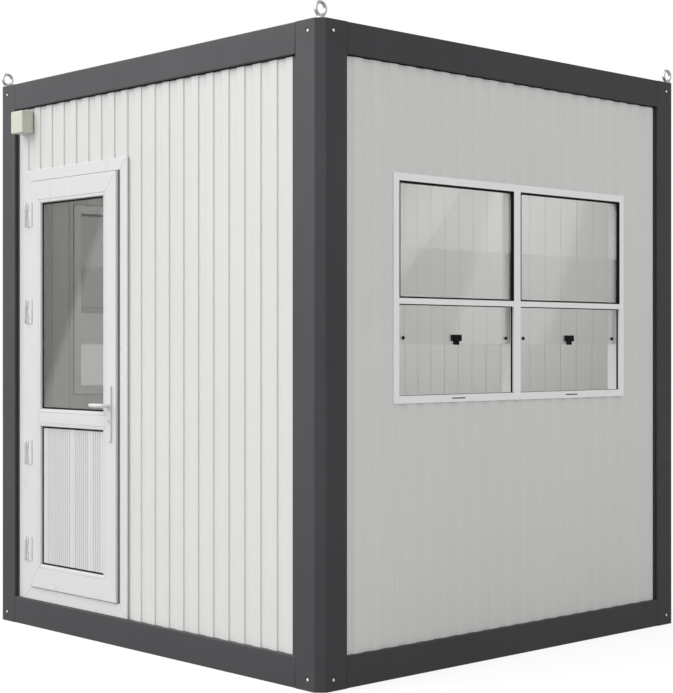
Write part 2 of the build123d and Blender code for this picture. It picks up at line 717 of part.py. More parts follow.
door_pieces = {
    "door_frame": [door_frame()],
    "door_sash": [door_sash()],
    "door_glass": [door_glass()],
    "door_infill": [door_infill()],
    "hinge_frame_leaves": hinge_frame_leaves(),
    "hinge_sash_leaves": hinge_sash_leaves(),
    "handle_plates": handle_plates(),
    "lever_outside": [lever(SASH_FACE, -1) + spindle()],
    "lever_inside": [lever(SASH_BACK, 1)],
    "junction_box": [junction_box()],
}
for name, pieces in door_pieces.items():
    nodes[name] = [on_wall(piece, "left") for piece in pieces]

os.makedirs("parts", exist_ok=True)
for name, pieces in nodes.items():
    solids = [solid for piece in pieces for solid in piece.solids()]
    shape = solids[0] if len(solids) == 1 else Compound(children=solids)
    export_step(shape, "parts/" + name + ".step")
print(len(nodes), "nodes")
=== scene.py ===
# %% [markdown]
# # An insulated panel cabin
# The cabin is a welded and folded steel frame filled with sandwich panels, with a half-glazed
# door in the left wall and a serving window in the front and the back wall. This file adds
# what a camera sees: rolled and folded edges, mitred profiles, gaskets, hinges, a handle,
# glass and finishes.

# %% Load the frame
import bmesh
import bpy
import json
from math import cos, degrees, pi, radians, sin
from mathutils import Matrix, Vector


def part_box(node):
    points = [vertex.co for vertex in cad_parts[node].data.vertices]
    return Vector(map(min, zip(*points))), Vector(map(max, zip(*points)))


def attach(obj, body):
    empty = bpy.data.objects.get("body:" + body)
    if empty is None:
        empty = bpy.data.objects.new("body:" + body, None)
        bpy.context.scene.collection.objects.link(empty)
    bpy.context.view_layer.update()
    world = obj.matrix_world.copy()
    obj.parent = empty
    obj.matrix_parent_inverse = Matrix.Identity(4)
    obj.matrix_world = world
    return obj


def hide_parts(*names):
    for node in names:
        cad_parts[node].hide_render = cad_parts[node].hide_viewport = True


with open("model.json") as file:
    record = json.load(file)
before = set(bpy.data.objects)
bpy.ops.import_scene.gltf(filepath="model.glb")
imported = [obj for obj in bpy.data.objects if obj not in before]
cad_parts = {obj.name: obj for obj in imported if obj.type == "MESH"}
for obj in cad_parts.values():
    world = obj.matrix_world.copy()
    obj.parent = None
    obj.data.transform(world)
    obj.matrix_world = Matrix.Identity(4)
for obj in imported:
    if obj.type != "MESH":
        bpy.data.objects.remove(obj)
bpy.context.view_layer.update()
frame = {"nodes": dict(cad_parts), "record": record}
cad_nodes = frame["nodes"]

# %% [markdown]
# ## One way to draw on every wall
# Each wall is drawn as if it were the front wall, in millimetres: x to the right, y into the
# room and z up. A quarter turn about the upright axis then puts it on its own side of the
# cabin. Drawing each wall in its place would need four sets of sizes; this way needs one.

# %% Walls and units
MM = 1000.0
TURNS = {"front": 0.0, "right": 0.5 * pi, "back": pi, "left": 1.5 * pi}


def wall_box(node, side):
    """Lowest and highest corner of a node in its wall's own frame, in millimetres."""
    back = Matrix.Rotation(-TURNS[side], 3, "Z")
    corners = [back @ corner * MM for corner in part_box(node)]
    low = Vector([min(a, b) for a, b in zip(*corners)])
    high = Vector([max(a, b) for a, b in zip(*corners)])
    return low, high


def rectangle(node, side):
    """Left, right, bottom and top of a node on its wall."""
    low, high = wall_box(node, side)
    return low.x, high.x, low.z, high.z


def inset(rect, sides, bottom=None, top=None):
    """A rectangle drawn in by the same width all round, or by other widths below and above."""
    bottom = sides if bottom is None else bottom
    top = sides if top is None else top
    return rect[0] + sides, rect[1] - sides, rect[2] + bottom, rect[3] - top


HALF = -wall_box("post_front_left", "front")[0].y
print("post faces stand", round(HALF), "mm from the middle")

# %% [markdown]
# ## Turning a bmesh into a piece
# A finished piece's object sits at the origin with its place in its mesh, so the mesh is turned
# onto its wall and brought to metres before the object is made. Doubles are merged and normals
# made to point outwards first. The Weighted Normal modifier keeps big faces flat to the eye
# while their narrow rounded edges shade smoothly, as a folded sheet does.

# %% Make a piece
CREASE = radians(50)


def merge_and_orient(bm):
    bmesh.ops.remove_doubles(bm, verts=bm.verts, dist=0.0005)
    bmesh.ops.recalc_face_normals(bm, faces=bm.faces)


def add_object(name, data):
    obj = bpy.data.objects.new(name, data)
    bpy.context.scene.collection.objects.link(obj)
    return obj


def add_mesh(name, bm):
    """An object with the mesh of a shape."""
    mesh = bpy.data.meshes.new(name)
    bm.to_mesh(mesh)
    return add_object(name, mesh)


def turn_onto(bm, side, old=()):
    """Turn a shape onto its wall, apart from the vertices that were there before."""
    verts = [v for v in bm.verts if v not in old]
    bmesh.ops.rotate(bm, cent=(0, 0, 0), matrix=Matrix.Rotation(TURNS[side], 3, "Z"), verts=verts)


def make_piece(bm, name, material, body, side=None, stands_for=(), whole=False):
    """Turn, scale and name a shape, and let it ride on its body. A whole shape isn't merged."""
    if not whole:
        merge_and_orient(bm)
    if side:
        turn_onto(bm, side)
    bmesh.ops.scale(bm, vec=(1 / MM, 1 / MM, 1 / MM), verts=bm.verts)
    for face in bm.faces:
        face.smooth = True
    for edge in bm.edges:
        edge.smooth = edge.is_manifold and edge.calc_face_angle(0) < CREASE
    piece = add_mesh(name, bm)
    bm.free()
    piece.data.materials.append(material)
    weights = piece.modifiers.new("flat faces stay flat", "WEIGHTED_NORMAL")
    weights.keep_sharp = True
    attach(piece, body)
    if stands_for:
        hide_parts(*stands_for)
    print("made", name, "with", len(piece.data.polygons), "faces")


print("pieces crease at", round(degrees(CREASE)), "degrees")

# %% [markdown]
# ## Finishes
# Every finish is a Principled shader with procedural detail on Object coordinates. Since every
# object sits at the origin, those coordinates are the same metres all over the cabin, so a
# pattern runs on from one panel to the next. One helper wires up a node, and a few more stand
# on it: one for the base, one for a noise, two that let a value drive the colour or the gloss,
# and one that makes a fine relief.

# %% Finish helpers
RAMP = (0.3, 0.7)
FINISHES = {}


def wire(tree, kind, inputs, out, **settings):
    """A shader node whose inputs are values or outputs of other nodes. Gives back its output."""
    made = tree.nodes.new("ShaderNode" + kind)
    for name, setting in settings.items():
        setattr(made, name, setting)
    for name, value in inputs.items():
        if isinstance(value, bpy.types.NodeSocket):
            tree.links.new(value, made.inputs[name])
        else:
            made.inputs[name].default_value = value
    return made.outputs[out]


def drive(material, socket, value):
    """Let the output of a node drive an input of the finish."""
    tree = material.node_tree
    tree.links.new(value, tree.nodes["Principled BSDF"].inputs[socket])


def finish(name, colour, roughness, metallic=0.0, slot=None, specular=0.5):
    """A plain finish whose material slot in the record has the same name."""
    material = bpy.data.materials.new(name)
    material.use_nodes = True
    material["slot"] = slot or name
    inputs = material.node_tree.nodes["Principled BSDF"].inputs
    inputs["Base Color"].default_value = (*colour, 1.0)
    inputs["Roughness"].default_value = roughness
    inputs["Metallic"].default_value = metallic
    inputs["Specular IOR Level"].default_value = specular
    FINISHES[name] = material
    return material


def noise(material, scale, detail=2.0, stretch=(1.0, 1.0, 1.0)):
    """A noise in the cabin's own metres, stretched along an axis where it has a grain."""
    tree = material.node_tree
    where = wire(tree, "TexCoord", {}, "Object")
    grain = wire(tree, "Mapping", {"Vector": where, "Scale": stretch}, "Vector")
    return wire(tree, "TexNoise", {"Vector": grain, "Scale": scale, "Detail": detail}, "Fac")


def vary_colour(material, dark, light, value):
    """Run the base colour between two colours by a value."""
    colour = wire(material.node_tree, "ValToRGB", {"Fac": value}, "Color")
    for stop, place, tint in zip(colour.node.color_ramp.elements, RAMP, (dark, light)):
        stop.position = place
        stop.color = (*tint, 1.0)
    drive(material, "Base Color", colour)


def vary_gloss(material, smooth, rough, value):
    """Run the roughness between two values."""
    ends = {"From Min": RAMP[0], "From Max": RAMP[1], "To Min": smooth, "To Max": rough}
    gloss = wire(material.node_tree, "MapRange", {"Value": value, **ends}, "Result")
    drive(material, "Roughness", gloss)


def relief(material, value, height, under=None):
    """A relief of a real height in metres, laid over another one if that is given."""
    inputs = {"Height": value, "Distance": height}
    if under:
        inputs["Normal"] = under
    bump = wire(material.node_tree, "Bump", inputs, "Normal")
    drive(material, "Normal", bump)
    return bump


print("finish helpers ready")

# %% [markdown]
# ### Painted steel
# The frame is powder coated in anthracite: satin, with the fine pimpled skin that such a coat
# leaves. The panels are coil coated: smoother, and very slightly wavy where the thin steel skin
# lies on its foam core. Both waves are far below a millimetre and only bend the reflections.

# %% Painted steel finishes
anthracite = finish("anthracite_steel", (0.036, 0.037, 0.041), 0.54)
vary_colour(anthracite, (0.033, 0.034, 0.038), (0.039, 0.040, 0.044), noise(anthracite, 1.7, 4.0))
vary_gloss(anthracite, 0.50, 0.58, noise(anthracite, 9.0, 4.0))
relief(anthracite, noise(anthracite, 900.0, 1.0), 0.00006)

panel_white = finish("panel_white", (0.665, 0.66, 0.648), 0.42)
vary_colour(panel_white, (0.655, 0.65, 0.638), (0.675, 0.67, 0.658), noise(panel_white, 1.2, 3.0))
vary_gloss(panel_white, 0.34, 0.46, noise(panel_white, 3.0, 3.0, (1.0, 1.0, 0.2)))
waves = relief(panel_white, noise(panel_white, 2.2, 1.0, (1.0, 1.0, 0.6)), 0.0012)
relief(panel_white, noise(panel_white, 700.0, 1.0), 0.00003, waves)

roof_white = finish("roof_white", (0.57, 0.57, 0.56), 0.5)
vary_colour(roof_white, (0.54, 0.54, 0.53), (0.59, 0.59, 0.58), noise(roof_white, 1.5, 5.0))
relief(roof_white, noise(roof_white, 600.0, 1.0), 0.00004)

joist_steel = finish("joist_steel", (0.07, 0.073, 0.078), 0.55)
vary_colour(joist_steel, (0.06, 0.062, 0.066), (0.085, 0.088, 0.092), noise(joist_steel, 6.0, 5.0))

zinc = finish("galvanised_steel", (0.66, 0.67, 0.68), 0.3, 1.0)
vary_colour(zinc, (0.52, 0.53, 0.54), (0.78, 0.79, 0.80), noise(zinc, 160.0, 3.0))
vary_gloss(zinc, 0.22, 0.42, noise(zinc, 90.0, 3.0))
relief(zinc, noise(zinc, 500.0, 2.0), 0.0001)
print("painted and plated steel ready")

# %% [markdown]
# ### Plastic, rubber and boards
# The door is white window-grade plastic, glossier than the panels. The window frames are powder
# coated aluminium. Rubber is nearly black and dull. The floor is grey sheet vinyl with fine
# flecks on plywood, whose grain is a noise stretched along the board.

# %% Plastic, rubber and board finishes
door_white = finish("door_white", (0.67, 0.67, 0.668), 0.3)
vary_gloss(door_white, 0.26, 0.35, noise(door_white, 5.0, 3.0))

infill_white = finish("door_infill_white", (0.63, 0.63, 0.628), 0.36)
vary_gloss(infill_white, 0.3, 0.4, noise(infill_white, 6.0, 3.0, (1.0, 1.0, 0.15)))

window_white = finish("window_white", (0.84, 0.845, 0.84), 0.36)
vary_gloss(window_white, 0.32, 0.42, noise(window_white, 7.0, 3.0))
relief(window_white, noise(window_white, 800.0, 1.0), 0.00004)

rubber = finish("gasket_rubber", (0.007, 0.007, 0.008), 0.55, slot="black_plastic", specular=0.08)
vary_gloss(rubber, 0.48, 0.62, noise(rubber, 60.0, 2.0))

seal_grey = finish("seal_grey", (0.24, 0.24, 0.24), 0.6, slot="door_white")
vary_gloss(seal_grey, 0.55, 0.66, noise(seal_grey, 40.0, 2.0))

black_plastic = finish("black_plastic", (0.006, 0.006, 0.007), 0.38, specular=0.08)
vary_gloss(black_plastic, 0.32, 0.45, noise(black_plastic, 120.0, 2.0))
relief(black_plastic, noise(black_plastic, 1500.0, 1.0), 0.00003)

cap_white = finish("cap_white", (0.80, 0.80, 0.79), 0.35, slot="galvanised_steel")
vary_gloss(cap_white, 0.3, 0.4, noise(cap_white, 90.0, 2.0))

box_cream = finish("box_cream", (0.61, 0.61, 0.53), 0.45)
vary_colour(box_cream, (0.60, 0.60, 0.52), (0.62, 0.62, 0.54), noise(box_cream, 12.0, 2.0))
relief(box_cream, noise(box_cream, 1100.0, 1.0), 0.00004)

floor_vinyl = finish("floor_vinyl", (0.18, 0.18, 0.175), 0.45)
vary_colour(floor_vinyl, (0.12, 0.12, 0.118), (0.24, 0.24, 0.232), noise(floor_vinyl, 420.0, 3.0))

floor_board = finish("floor_board", (0.36, 0.25, 0.14), 0.6)
wood_grain = noise(floor_board, 14.0, 6.0, (1.0, 12.0, 4.0))
vary_colour(floor_board, (0.26, 0.17, 0.09), (0.45, 0.32, 0.19), wood_grain)
print("plastic, rubber and boards ready")

# %% [markdown]
# ### Glass
# Real panes take a little light away and mirror a little of the room. A Principled shader with
# full transmission does both, but it would also keep lamp light out of the room, since a
# refracted shadow ray never reaches a lamp. So shadow rays meet a clear shader instead. The
# panes at the back of the cabin are darker than those at the front: painted shade for the
# darker view through them. So their colour follows the Object coordinate that runs from front
# to back.

# %% Glass finishes
WINDOW_TINT = (0.83, 0.83, 0.815)
FRONT_TINT = (0.80, 0.80, 0.785)
BACK_PAINTED_SHADE_TINT = (0.58, 0.585, 0.585)
DOOR_TINT = (0.56, 0.56, 0.545)


def glass(name, colour, ior, clear):
    """Tinted glass whose shadow lets light through."""
    material = finish(name, colour, 0.0)
    tree = material.node_tree
    shader = tree.nodes["Principled BSDF"]
    shader.inputs["Transmission Weight"].default_value = 1.0
    shader.inputs["IOR"].default_value = ior
    is_shadow = wire(tree, "LightPath", {}, "Is Shadow Ray")
    shadow = wire(tree, "BsdfTransparent", {"Color": (clear, clear, clear, 1.0)}, "BSDF")
    both = wire(tree, "MixShader", {"Fac": is_shadow, 1: shader.outputs["BSDF"], 2: shadow}, "Shader")
    tree.links.new(both, tree.nodes["Material Output"].inputs["Surface"])
    return material


window_glass = glass("window_glass", WINDOW_TINT, 2.1, 0.85)
where = wire(window_glass.node_tree, "TexCoord", {}, "Object")
front_to_back = wire(window_glass.node_tree, "SeparateXYZ", {"Vector": where}, "Y")
# Painted shade: the back panes are darker than the front ones, for the darker view through them.
vary_colour(window_glass, FRONT_TINT, BACK_PAINTED_SHADE_TINT, front_to_back)
door_glass = glass("door_glass", DOOR_TINT, 1.45, 0.8)
print("glass ready")

# %% [markdown]
# ## The finish of each node that stays as it is
# Nodes whose shape is already right only get a better material. The slot in the record says
# which finish each one has, and that finish has the same name.

# %% Give every node its finish
slots = {row["node"]: row["material_slot"] for row in frame["record"]["subparts"]}
for node, obj in cad_nodes.items():
    obj.data.materials.clear()
    obj.data.materials.append(FINISHES[slots[node]])
print("finished", len(slots), "nodes with", len(set(slots.values())), "finishes")

# %% [markdown]
# ## Turned and flat pieces
# Hinge barrels, bolts, knobs, screws and collars are all turned: one outline spun about an
# axis. A full spin merges its last step into its first, and poles are closed because the
# outline starts and ends on the axis. Flat pieces are cubes brought to size, with their edges
# broken by a bevel.

# %% Turned and flat pieces
def turned(bm, outline, centre, axis, steps=32):
    """Spin an outline of (radius, height along the axis) about an axis through a point."""
    axis = Vector(axis).normalized()
    side = axis.orthogonal().normalized()
    centre = Vector(centre)
    verts = [bm.verts.new(centre + side * r + axis * h) for r, h in outline]
    edges = [bm.edges.new(pair) for pair in zip(verts, verts[1:])]
    bmesh.ops.spin(
        bm, geom=verts + edges, cent=centre, axis=axis, angle=2 * pi, steps=steps, use_merge=True)


def bevel(bm, edges, width, segments=1, clamp=False):
    """Round edges by a width, in as many segments as are asked for."""
    bmesh.ops.bevel(
        bm, geom=list(edges), affect="EDGES", offset=width, offset_type="OFFSET",
        segments=segments, profile=0.5, material=-1, clamp_overlap=clamp)


def any_edge(edge):
    return True


def plate(bm, x0, x1, y0, y1, z0, z1, edge=0.0, segments=2, choose=any_edge):
    """A flat piece between two corners. Gives back its vertices if its edges stay sharp."""
    made = bmesh.ops.create_cube(bm, size=1.0)["verts"]
    bmesh.ops.scale(bm, vec=(x1 - x0, y1 - y0, z1 - z0), verts=made)
    bmesh.ops.translate(bm, vec=((x0 + x1) / 2, (y0 + y1) / 2, (z0 + z1) / 2), verts=made)
    if not edge:
        return made
    bevel(bm, {e for v in made for e in v.link_edges if choose(e)}, edge, segments)


def direction(edge):
    return (edge.verts[1].co - edge.verts[0].co).normalized()


def middle(edge):
    return (edge.verts[0].co + edge.verts[1].co) / 2


def through_wall(edge):
    return abs(direction(edge).y) > 0.9


print("ready to turn outlines and to cut plates")

# %% [markdown]
# ## Folded and rolled edges
# No sheet has a knife edge: a fold in 4 mm steel has a radius of a few millimetres, and a
# rolled rib one of about two. Those edges catch the light, so they make the difference between
# a drawing and a photograph. A copy of the node's mesh is merged, its flat triangles are
# dissolved into whole faces, and the chosen edges are beveled.

# %% Round the edges of a node
BODIES = frame["record"]["behaviour"]["bodies"]
SHARP = radians(15)
FLAT = radians(0.5)


def cut(bm, tool):
    """Take another shape out of a shape with a Boolean modifier, and give back the rest."""
    made = [add_mesh("for the cut", shape) for shape in (bm, tool)]
    bm.free()
    knife = made[0].modifiers.new("pockets", "BOOLEAN")
    knife.object = made[1]
    knife.solver = "EXACT"
    depsgraph = bpy.context.evaluated_depsgraph_get()
    mesh = bpy.data.meshes.new_from_object(made[0].evaluated_get(depsgraph))
    rest = bmesh.new()
    rest.from_mesh(mesh)
    for obj in made:
        bpy.data.objects.remove(obj)
    return rest


def soften(node, width, choose, segments=3, pockets=None, reshape=None):
    """A copy of a node, pressed, rounded and cut as asked, which stands for the node."""
    bm = bmesh.new()
    bm.from_mesh(cad_nodes[node].data)
    bmesh.ops.scale(bm, vec=(MM, MM, MM), verts=bm.verts)
    bmesh.ops.remove_doubles(bm, verts=bm.verts, dist=0.01)
    bmesh.ops.dissolve_limit(bm, angle_limit=FLAT, verts=bm.verts, edges=bm.edges)
    if reshape:
        reshape(bm)
    edges = [e for e in bm.edges if e.is_manifold and e.calc_face_angle(0) > SHARP and choose(e)]
    bevel(bm, edges, width, segments, clamp=True)
    if pockets:
        bm = cut(bm, pockets)
    body = next(body for body, nodes in BODIES.items() if node in nodes)
    make_piece(bm, node + "_folded", FINISHES[slots[node]], body, stands_for=(node,), whole=True)


# %% [markdown]
# ### Posts and rails
# Only the long outer folds of the posts are rounded: their cut ends stay sharp, as a saw leaves
# them, and the inner folds are out of sight. The rails are rounded at their ends as well, so a
# fine line shows where a rail meets a post. A bolt sits in a pressed dimple near each end of
# each post face. A Boolean modifier cuts these dimples out of the rounded posts.

# %% Posts and rails
FOLD = 4.5
LONG = 1000.0
BOLT_IN = 75.0
BOLT_UP = 45.0
DIMPLE = 2.6
post_top = wall_box("post_front_left", "front")[1].z


def at_each_bolt(bm, outline, sink=0.0, steps=24):
    """Spin an outline at every bolt of the posts, at a depth below the face."""
    for turn in TURNS.values():
        spin = Matrix.Rotation(turn, 3, "Z")
        out = spin @ Vector((0, -1, 0))
        for x in (-HALF + BOLT_IN, HALF - BOLT_IN):
            for z in (BOLT_UP, post_top - BOLT_UP):
                turned(bm, outline, spin @ Vector((x, -HALF + sink, z)), out, steps)


dimples = bmesh.new()
cup = [(0, -DIMPLE), (9.4, -DIMPLE), (10.4, -0.8), (12.0, 0.0), (12.0, 3.0), (0, 3.0)]
at_each_bolt(dimples, cup)
merge_and_orient(dimples)


def outer_face_edge(edge):
    """Edge on the outer face of a rail, along it or at its end."""
    place = middle(edge)
    return max(abs(place.x), abs(place.y)) > HALF - 1.0


def outer_upright_fold(edge):
    """Long edge on the outline of a corner post."""
    return edge.calc_length() > LONG and outer_face_edge(edge)


for node in sorted(cad_nodes):
    if node.startswith("post_") and node != "post_end_plates":
        soften(node, FOLD, outer_upright_fold, pockets=dimples)
    if node.startswith(("top_rail_", "base_rail_")):
        soften(node, FOLD, outer_face_edge)
dimples.free()

# %% [markdown]
# ### Ribbed wall skins
# The roll former leaves a radius of about two millimetres at each bend of a rib. All upright
# bends of both skins are rounded, and so are the upright cut edges round the openings, by the same width.
# Beside each rib of the inner skin it also presses a narrow groove, so one bmesh of slim wedges
# is cut out of every panel.

# %% Wall panels
RIB_BEND = 1.6
RIB_PITCH = 104.0
RIB_PHASE = -12.0
RIB_STEP = 3.0
SEAM_SHIFT = 3.8
SEAM_HALF = 1.8
SEAM_DEPTH = 4.0
SEAM_PROUD = 6.0
SEAM_FOOT = -200.0
SEAM_TALL = 3200.0
SEAMS = 10

inner_face = wall_box("door_wall_beside_lock", "left")[1].y
floor_of_rib = inner_face - RIB_STEP
mouth = SEAM_HALF * (SEAM_DEPTH + SEAM_PROUD) / SEAM_DEPTH
seams = bmesh.new()
for turn in TURNS.values():
    spin = Matrix.Rotation(turn, 3, "Z")
    for k in range(-SEAMS, SEAMS + 1):
        x = RIB_PHASE + k * RIB_PITCH + SEAM_SHIFT
        wedge = [(x, floor_of_rib - SEAM_DEPTH), (x + mouth, floor_of_rib + SEAM_PROUD),
                 (x - mouth, floor_of_rib + SEAM_PROUD)]
        face = seams.faces.new([seams.verts.new(spin @ Vector((a, b, SEAM_FOOT))) for a, b in wedge])
        top = bmesh.ops.extrude_face_region(seams, geom=[face])["geom"]
        raised = [v for v in top if isinstance(v, bmesh.types.BMVert)]
        bmesh.ops.translate(seams, vec=(0, 0, SEAM_TALL), verts=raised)
merge_and_orient(seams)


def upright_bend(edge):
    return abs(direction(edge).z) > 0.99


for node in sorted(cad_nodes):
    if "_wall" in node:
        soften(node, RIB_BEND, upright_bend, segments=2, pockets=seams)
seams.free()

# %% [markdown]
# ## A section carried round a frame
# Door frames, sashes, beads, gaskets and seals are all one section carried round a rectangle
# and mitred at its corners. Extruding the section's edges from station to station does this in
# one go. At a welded corner there are three stations within three millimetres, and the middle
# one is drawn in a little: that is the fine groove of the mitre.

# %% Carry a section through its stations
def run_section(bm, stations):
    """Extrude a closed section through a ring of stations of matching points."""
    count = len(stations[0])
    verts = [bm.verts.new(point) for point in stations[0]]
    edges = [bm.edges.new((verts[i], verts[(i + 1) % count])) for i in range(count)]
    for station in stations[1:] + stations[:1]:
        made = bmesh.ops.extrude_edge_only(bm, edges=edges)["geom"]
        new = {v for v in made if isinstance(v, bmesh.types.BMVert)}
        verts = [next(e.other_vert(v) for e in v.link_edges if e.other_vert(v) in new) for v in verts]
        for vert, point in zip(verts, station):
            vert.co = point
        edges = [bm.edges.get((verts[i], verts[(i + 1) % count])) for i in range(count)]
    bmesh.ops.remove_doubles(bm, verts=bm.verts, dist=0.001)


MITRE_HALF = 1.5
MITRE_DEPTH = 3.0
CORNERS = ((0, 2, 1, 1), (1, 2, -1, 1), (1, 3, -1, -1), (0, 3, 1, -1))
AWAY = (Vector((1, 0, 0)), Vector((0, 0, 1)), Vector((-1, 0, 0)), Vector((0, 0, -1)))


def mitred_frame(bm, outer, inner, section, groove=True, third=None):
    """Section points are (line, distance, y): a distance in from the outer rectangle, where
    line is 0, out from the inner one, where line is 1, or out from a third one, for line 2."""
    stations = []
    depths = [y for line, distance, y in section]
    centre_y = (min(depths) + max(depths)) / 2
    for i, (ix, iz, sx, sz) in enumerate(CORNERS):
        points = []
        for line, distance, y in section:
            rect = (outer, inner, third)[line]
            off = -distance if line else distance
            points.append(Vector((rect[ix] + sx * off, y, rect[iz] + sz * off)))
        if not groove:
            stations.append(points)
            continue
        heart = sum(points, Vector()) / len(points)
        heart.y = centre_y
        stations.append([p + AWAY[i - 1] * -MITRE_HALF for p in points])
        stations.append([p + (heart - p).normalized() * MITRE_DEPTH for p in points])
        stations.append([p + AWAY[i] * MITRE_HALF for p in points])
    run_section(bm, stations)


print("a mitre is", 2 * MITRE_HALF, "mm wide")

# %% [markdown]
# ## The door
# The door is made of welded plastic profiles. Its outer frame lies over the panels with a
# rounded lip, and has a groove round the sash with a grey seal in it: a hair line at the top,
# the foot and the hinges, and a wide one along the lock. The lip of the sash closes against
# that seal. Both frames are one ring each, with the fine groove of the weld along every mitre.

# %% Door sizes
DOOR_COVER = 10.0
FRAME_LIP = 4.0
SASH_LIP = 11.5
door_frame_low, door_frame_high = wall_box("door_frame", "left")
sash_rect = rectangle("door_sash", "left")
sash_low, sash_high = wall_box("door_sash", "left")
frame_rect = inset(rectangle("door_frame", "left"), DOOR_COVER, 0.0, DOOR_COVER)
print("door frame", [round(v) for v in frame_rect], "sash", [round(v) for v in sash_rect])

# %% [markdown]
# The section of the outer frame runs over its lip, into the groove, along the stop behind the
# sash and back inside the wall.

# %% Outer door frame
SASH_LIP_CLEAR = 5.0
GROOVE = 3.0
GROOVE_LOCK = 16.5
GROOVE_DEPTH = 11.0
STOP = 15.0
STOP_GAP = 5.0
LAP = 12.0
crest = wall_box("door_wall_beside_lock", "left")[0].y
frame_face = door_frame_low.y
frame_back = door_frame_high.y
stop_face = sash_high.y + STOP_GAP
groove_floor = frame_face + GROOVE_DEPTH

bm = bmesh.new()
rebate_rect = inset(sash_rect, SASH_LIP_CLEAR)
groove_rect = (
    sash_rect[0] - GROOVE, sash_rect[1] + GROOVE_LOCK, sash_rect[2] - GROOVE, sash_rect[3] + GROOVE)
section = [
    (0, 0.0, crest), (0, 0.0, frame_face + FRAME_LIP), (0, 1.2, frame_face + 1.2),
    (0, FRAME_LIP, frame_face), (2, 2.5, frame_face), (2, 0.7, frame_face + 0.7),
    (2, 0.0, frame_face + 2.5), (2, 0.0, groove_floor), (1, 0.0, groove_floor),
    (1, 0.0, stop_face), (1, -STOP, stop_face), (1, -STOP, frame_back),
    (0, -DOOR_COVER, frame_back), (0, -DOOR_COVER, inner_face), (0, LAP, inner_face),
    (0, LAP, crest),
]
mitred_frame(bm, frame_rect, rebate_rect, section, third=groove_rect)
make_piece(bm, "door_outer_frame", door_white, "cabin", "left", ("door_frame",))

# %% [markdown]
# The grey seal stands in the gap between the frame and the lip of the sash. It stays on the
# frame when the door opens, and ends a hair before the sash.

# %% Door seal
bm = bmesh.new()
lip_back = sash_low.y + SASH_LIP
seal_rect = inset(sash_rect, 1.0)
seal = [
    (0, 0.0, groove_floor + 0.5), (0, 0.6, lip_back + 1.2), (0, 1.8, lip_back + 0.5),
    (0, 3.0, lip_back + 1.2), (0, 3.6, groove_floor + 0.5),
]
mitred_frame(bm, seal_rect, seal_rect, seal, groove=False)
make_piece(bm, "door_seal", seal_grey, "cabin", "left")

# %% [markdown]
# The sash is a ring with its own rounded lip, and a middle rail that butts against both
# stiles. Glazing beads slope from its face down to the glass and to the infill panel, and a
# black gasket lies between the bead and the pane.

# %% Sash, middle rail, beads and gaskets
STILE = 85.0
TOP_RAIL = 92.0
BOTTOM_RAIL = 100.0
MID_HEIGHT = 832.0
MID_RAIL = 52.0
LIP_WIDTH = 10.0
LOCK_EXTRA = 3.0
BEAD = 18.0
BEAD_DEPTH = 14.0
GASKET = 7.0
sash_face = sash_low.y
sash_back = sash_high.y
opening = inset(sash_rect, STILE, BOTTOM_RAIL, TOP_RAIL)
mid = sash_rect[2] + MID_HEIGHT
glass_rect = (opening[0], opening[1], mid + MID_RAIL / 2, opening[3])
infill_rect = (opening[0], opening[1], opening[2], mid - MID_RAIL / 2)

bm = bmesh.new()
section = [
    (0, 0.0, lip_back), (0, 0.0, sash_face + 4.0), (0, 1.2, sash_face + 1.2), (0, 4.0, sash_face),
    (1, 1.2, sash_face), (1, 0.0, sash_face + 2.2), (1, 0.0, sash_back),
    (0, LIP_WIDTH + LOCK_EXTRA, sash_back), (0, LIP_WIDTH + LOCK_EXTRA, lip_back),
]
mitred_frame(bm, sash_rect, opening, section)
rail = plate(
    bm, opening[0], opening[1], sash_face, sash_back, mid - MID_RAIL / 2, mid + MID_RAIL / 2)


def on_face(edge):
    return middle(edge).y < sash_face + 1


bevel(bm, {e for v in rail for e in v.link_edges if abs(direction(e).x) > 0.9 and on_face(e)}, 1.2)
bevel(bm, [
    e for e in bm.edges
    if upright_bend(e) and abs(middle(e).z - mid) < 1 and on_face(e) and e.calc_length() < MID_RAIL
], 1.0)
make_piece(bm, "door_sash_profiles", door_white, "door", "left", ("door_sash",))

bm = bmesh.new()
gaskets = bmesh.new()
pane_face = sash_face + BEAD_DEPTH
for rect in (glass_rect, infill_rect):
    inner = inset(rect, BEAD)
    section = [
        (0, 0.0, sash_face + 2.2), (0, 1.2, sash_face + 0.2), (0, 4.0, sash_face + 0.1),
        (1, 5.0, sash_face + 0.6), (1, 3.6, sash_face + 1.1), (1, 2.8, sash_face + 2.2),
        (1, 0.4, pane_face - 1.0), (1, 0.0, pane_face), (0, 0.0, pane_face),
    ]
    mitred_frame(bm, rect, inner, section)
    rim = inset(inner, GASKET)
    section = [
        (0, 0.0, pane_face - 3.6), (1, 3.0, pane_face - 2.6), (1, 0.6, pane_face - 1.4),
        (1, 0.0, pane_face), (0, 0.0, pane_face),
    ]
    mitred_frame(gaskets, inner, rim, section, groove=False)
make_piece(bm, "glazing_beads", door_white, "door", "left")
make_piece(gaskets, "door_gaskets", rubber, "door", "left")

# %% [markdown]
# The door's glass is a sealed unit: two panes with a white spacer bar between them, which shows
# only as a line behind the bead. Each pane has its edges ground off.

# %% Sealed unit
PANE = 4.0
SPACER = 12.0
unit_low, unit_high = wall_box("door_glass", "left")
bm = bmesh.new()
for y in (unit_low.y, unit_high.y - PANE):
    plate(bm, unit_low.x, unit_high.x, y, y + PANE, unit_low.z, unit_high.z, 0.5, 1)
make_piece(bm, "door_sealed_unit", door_glass, "door", "left", ("door_glass",))
bm = bmesh.new()
unit_rect = inset(rectangle("door_glass", "left"), 1.0)
section = [
    (0, 0.0, unit_low.y + PANE), (1, 0.0, unit_low.y + PANE), (1, 0.0, unit_high.y - PANE),
    (0, 0.0, unit_high.y - PANE),
]
mitred_frame(bm, unit_rect, inset(unit_rect, SPACER), section, groove=False)
make_piece(bm, "door_glass_spacer", door_white, "door", "left")

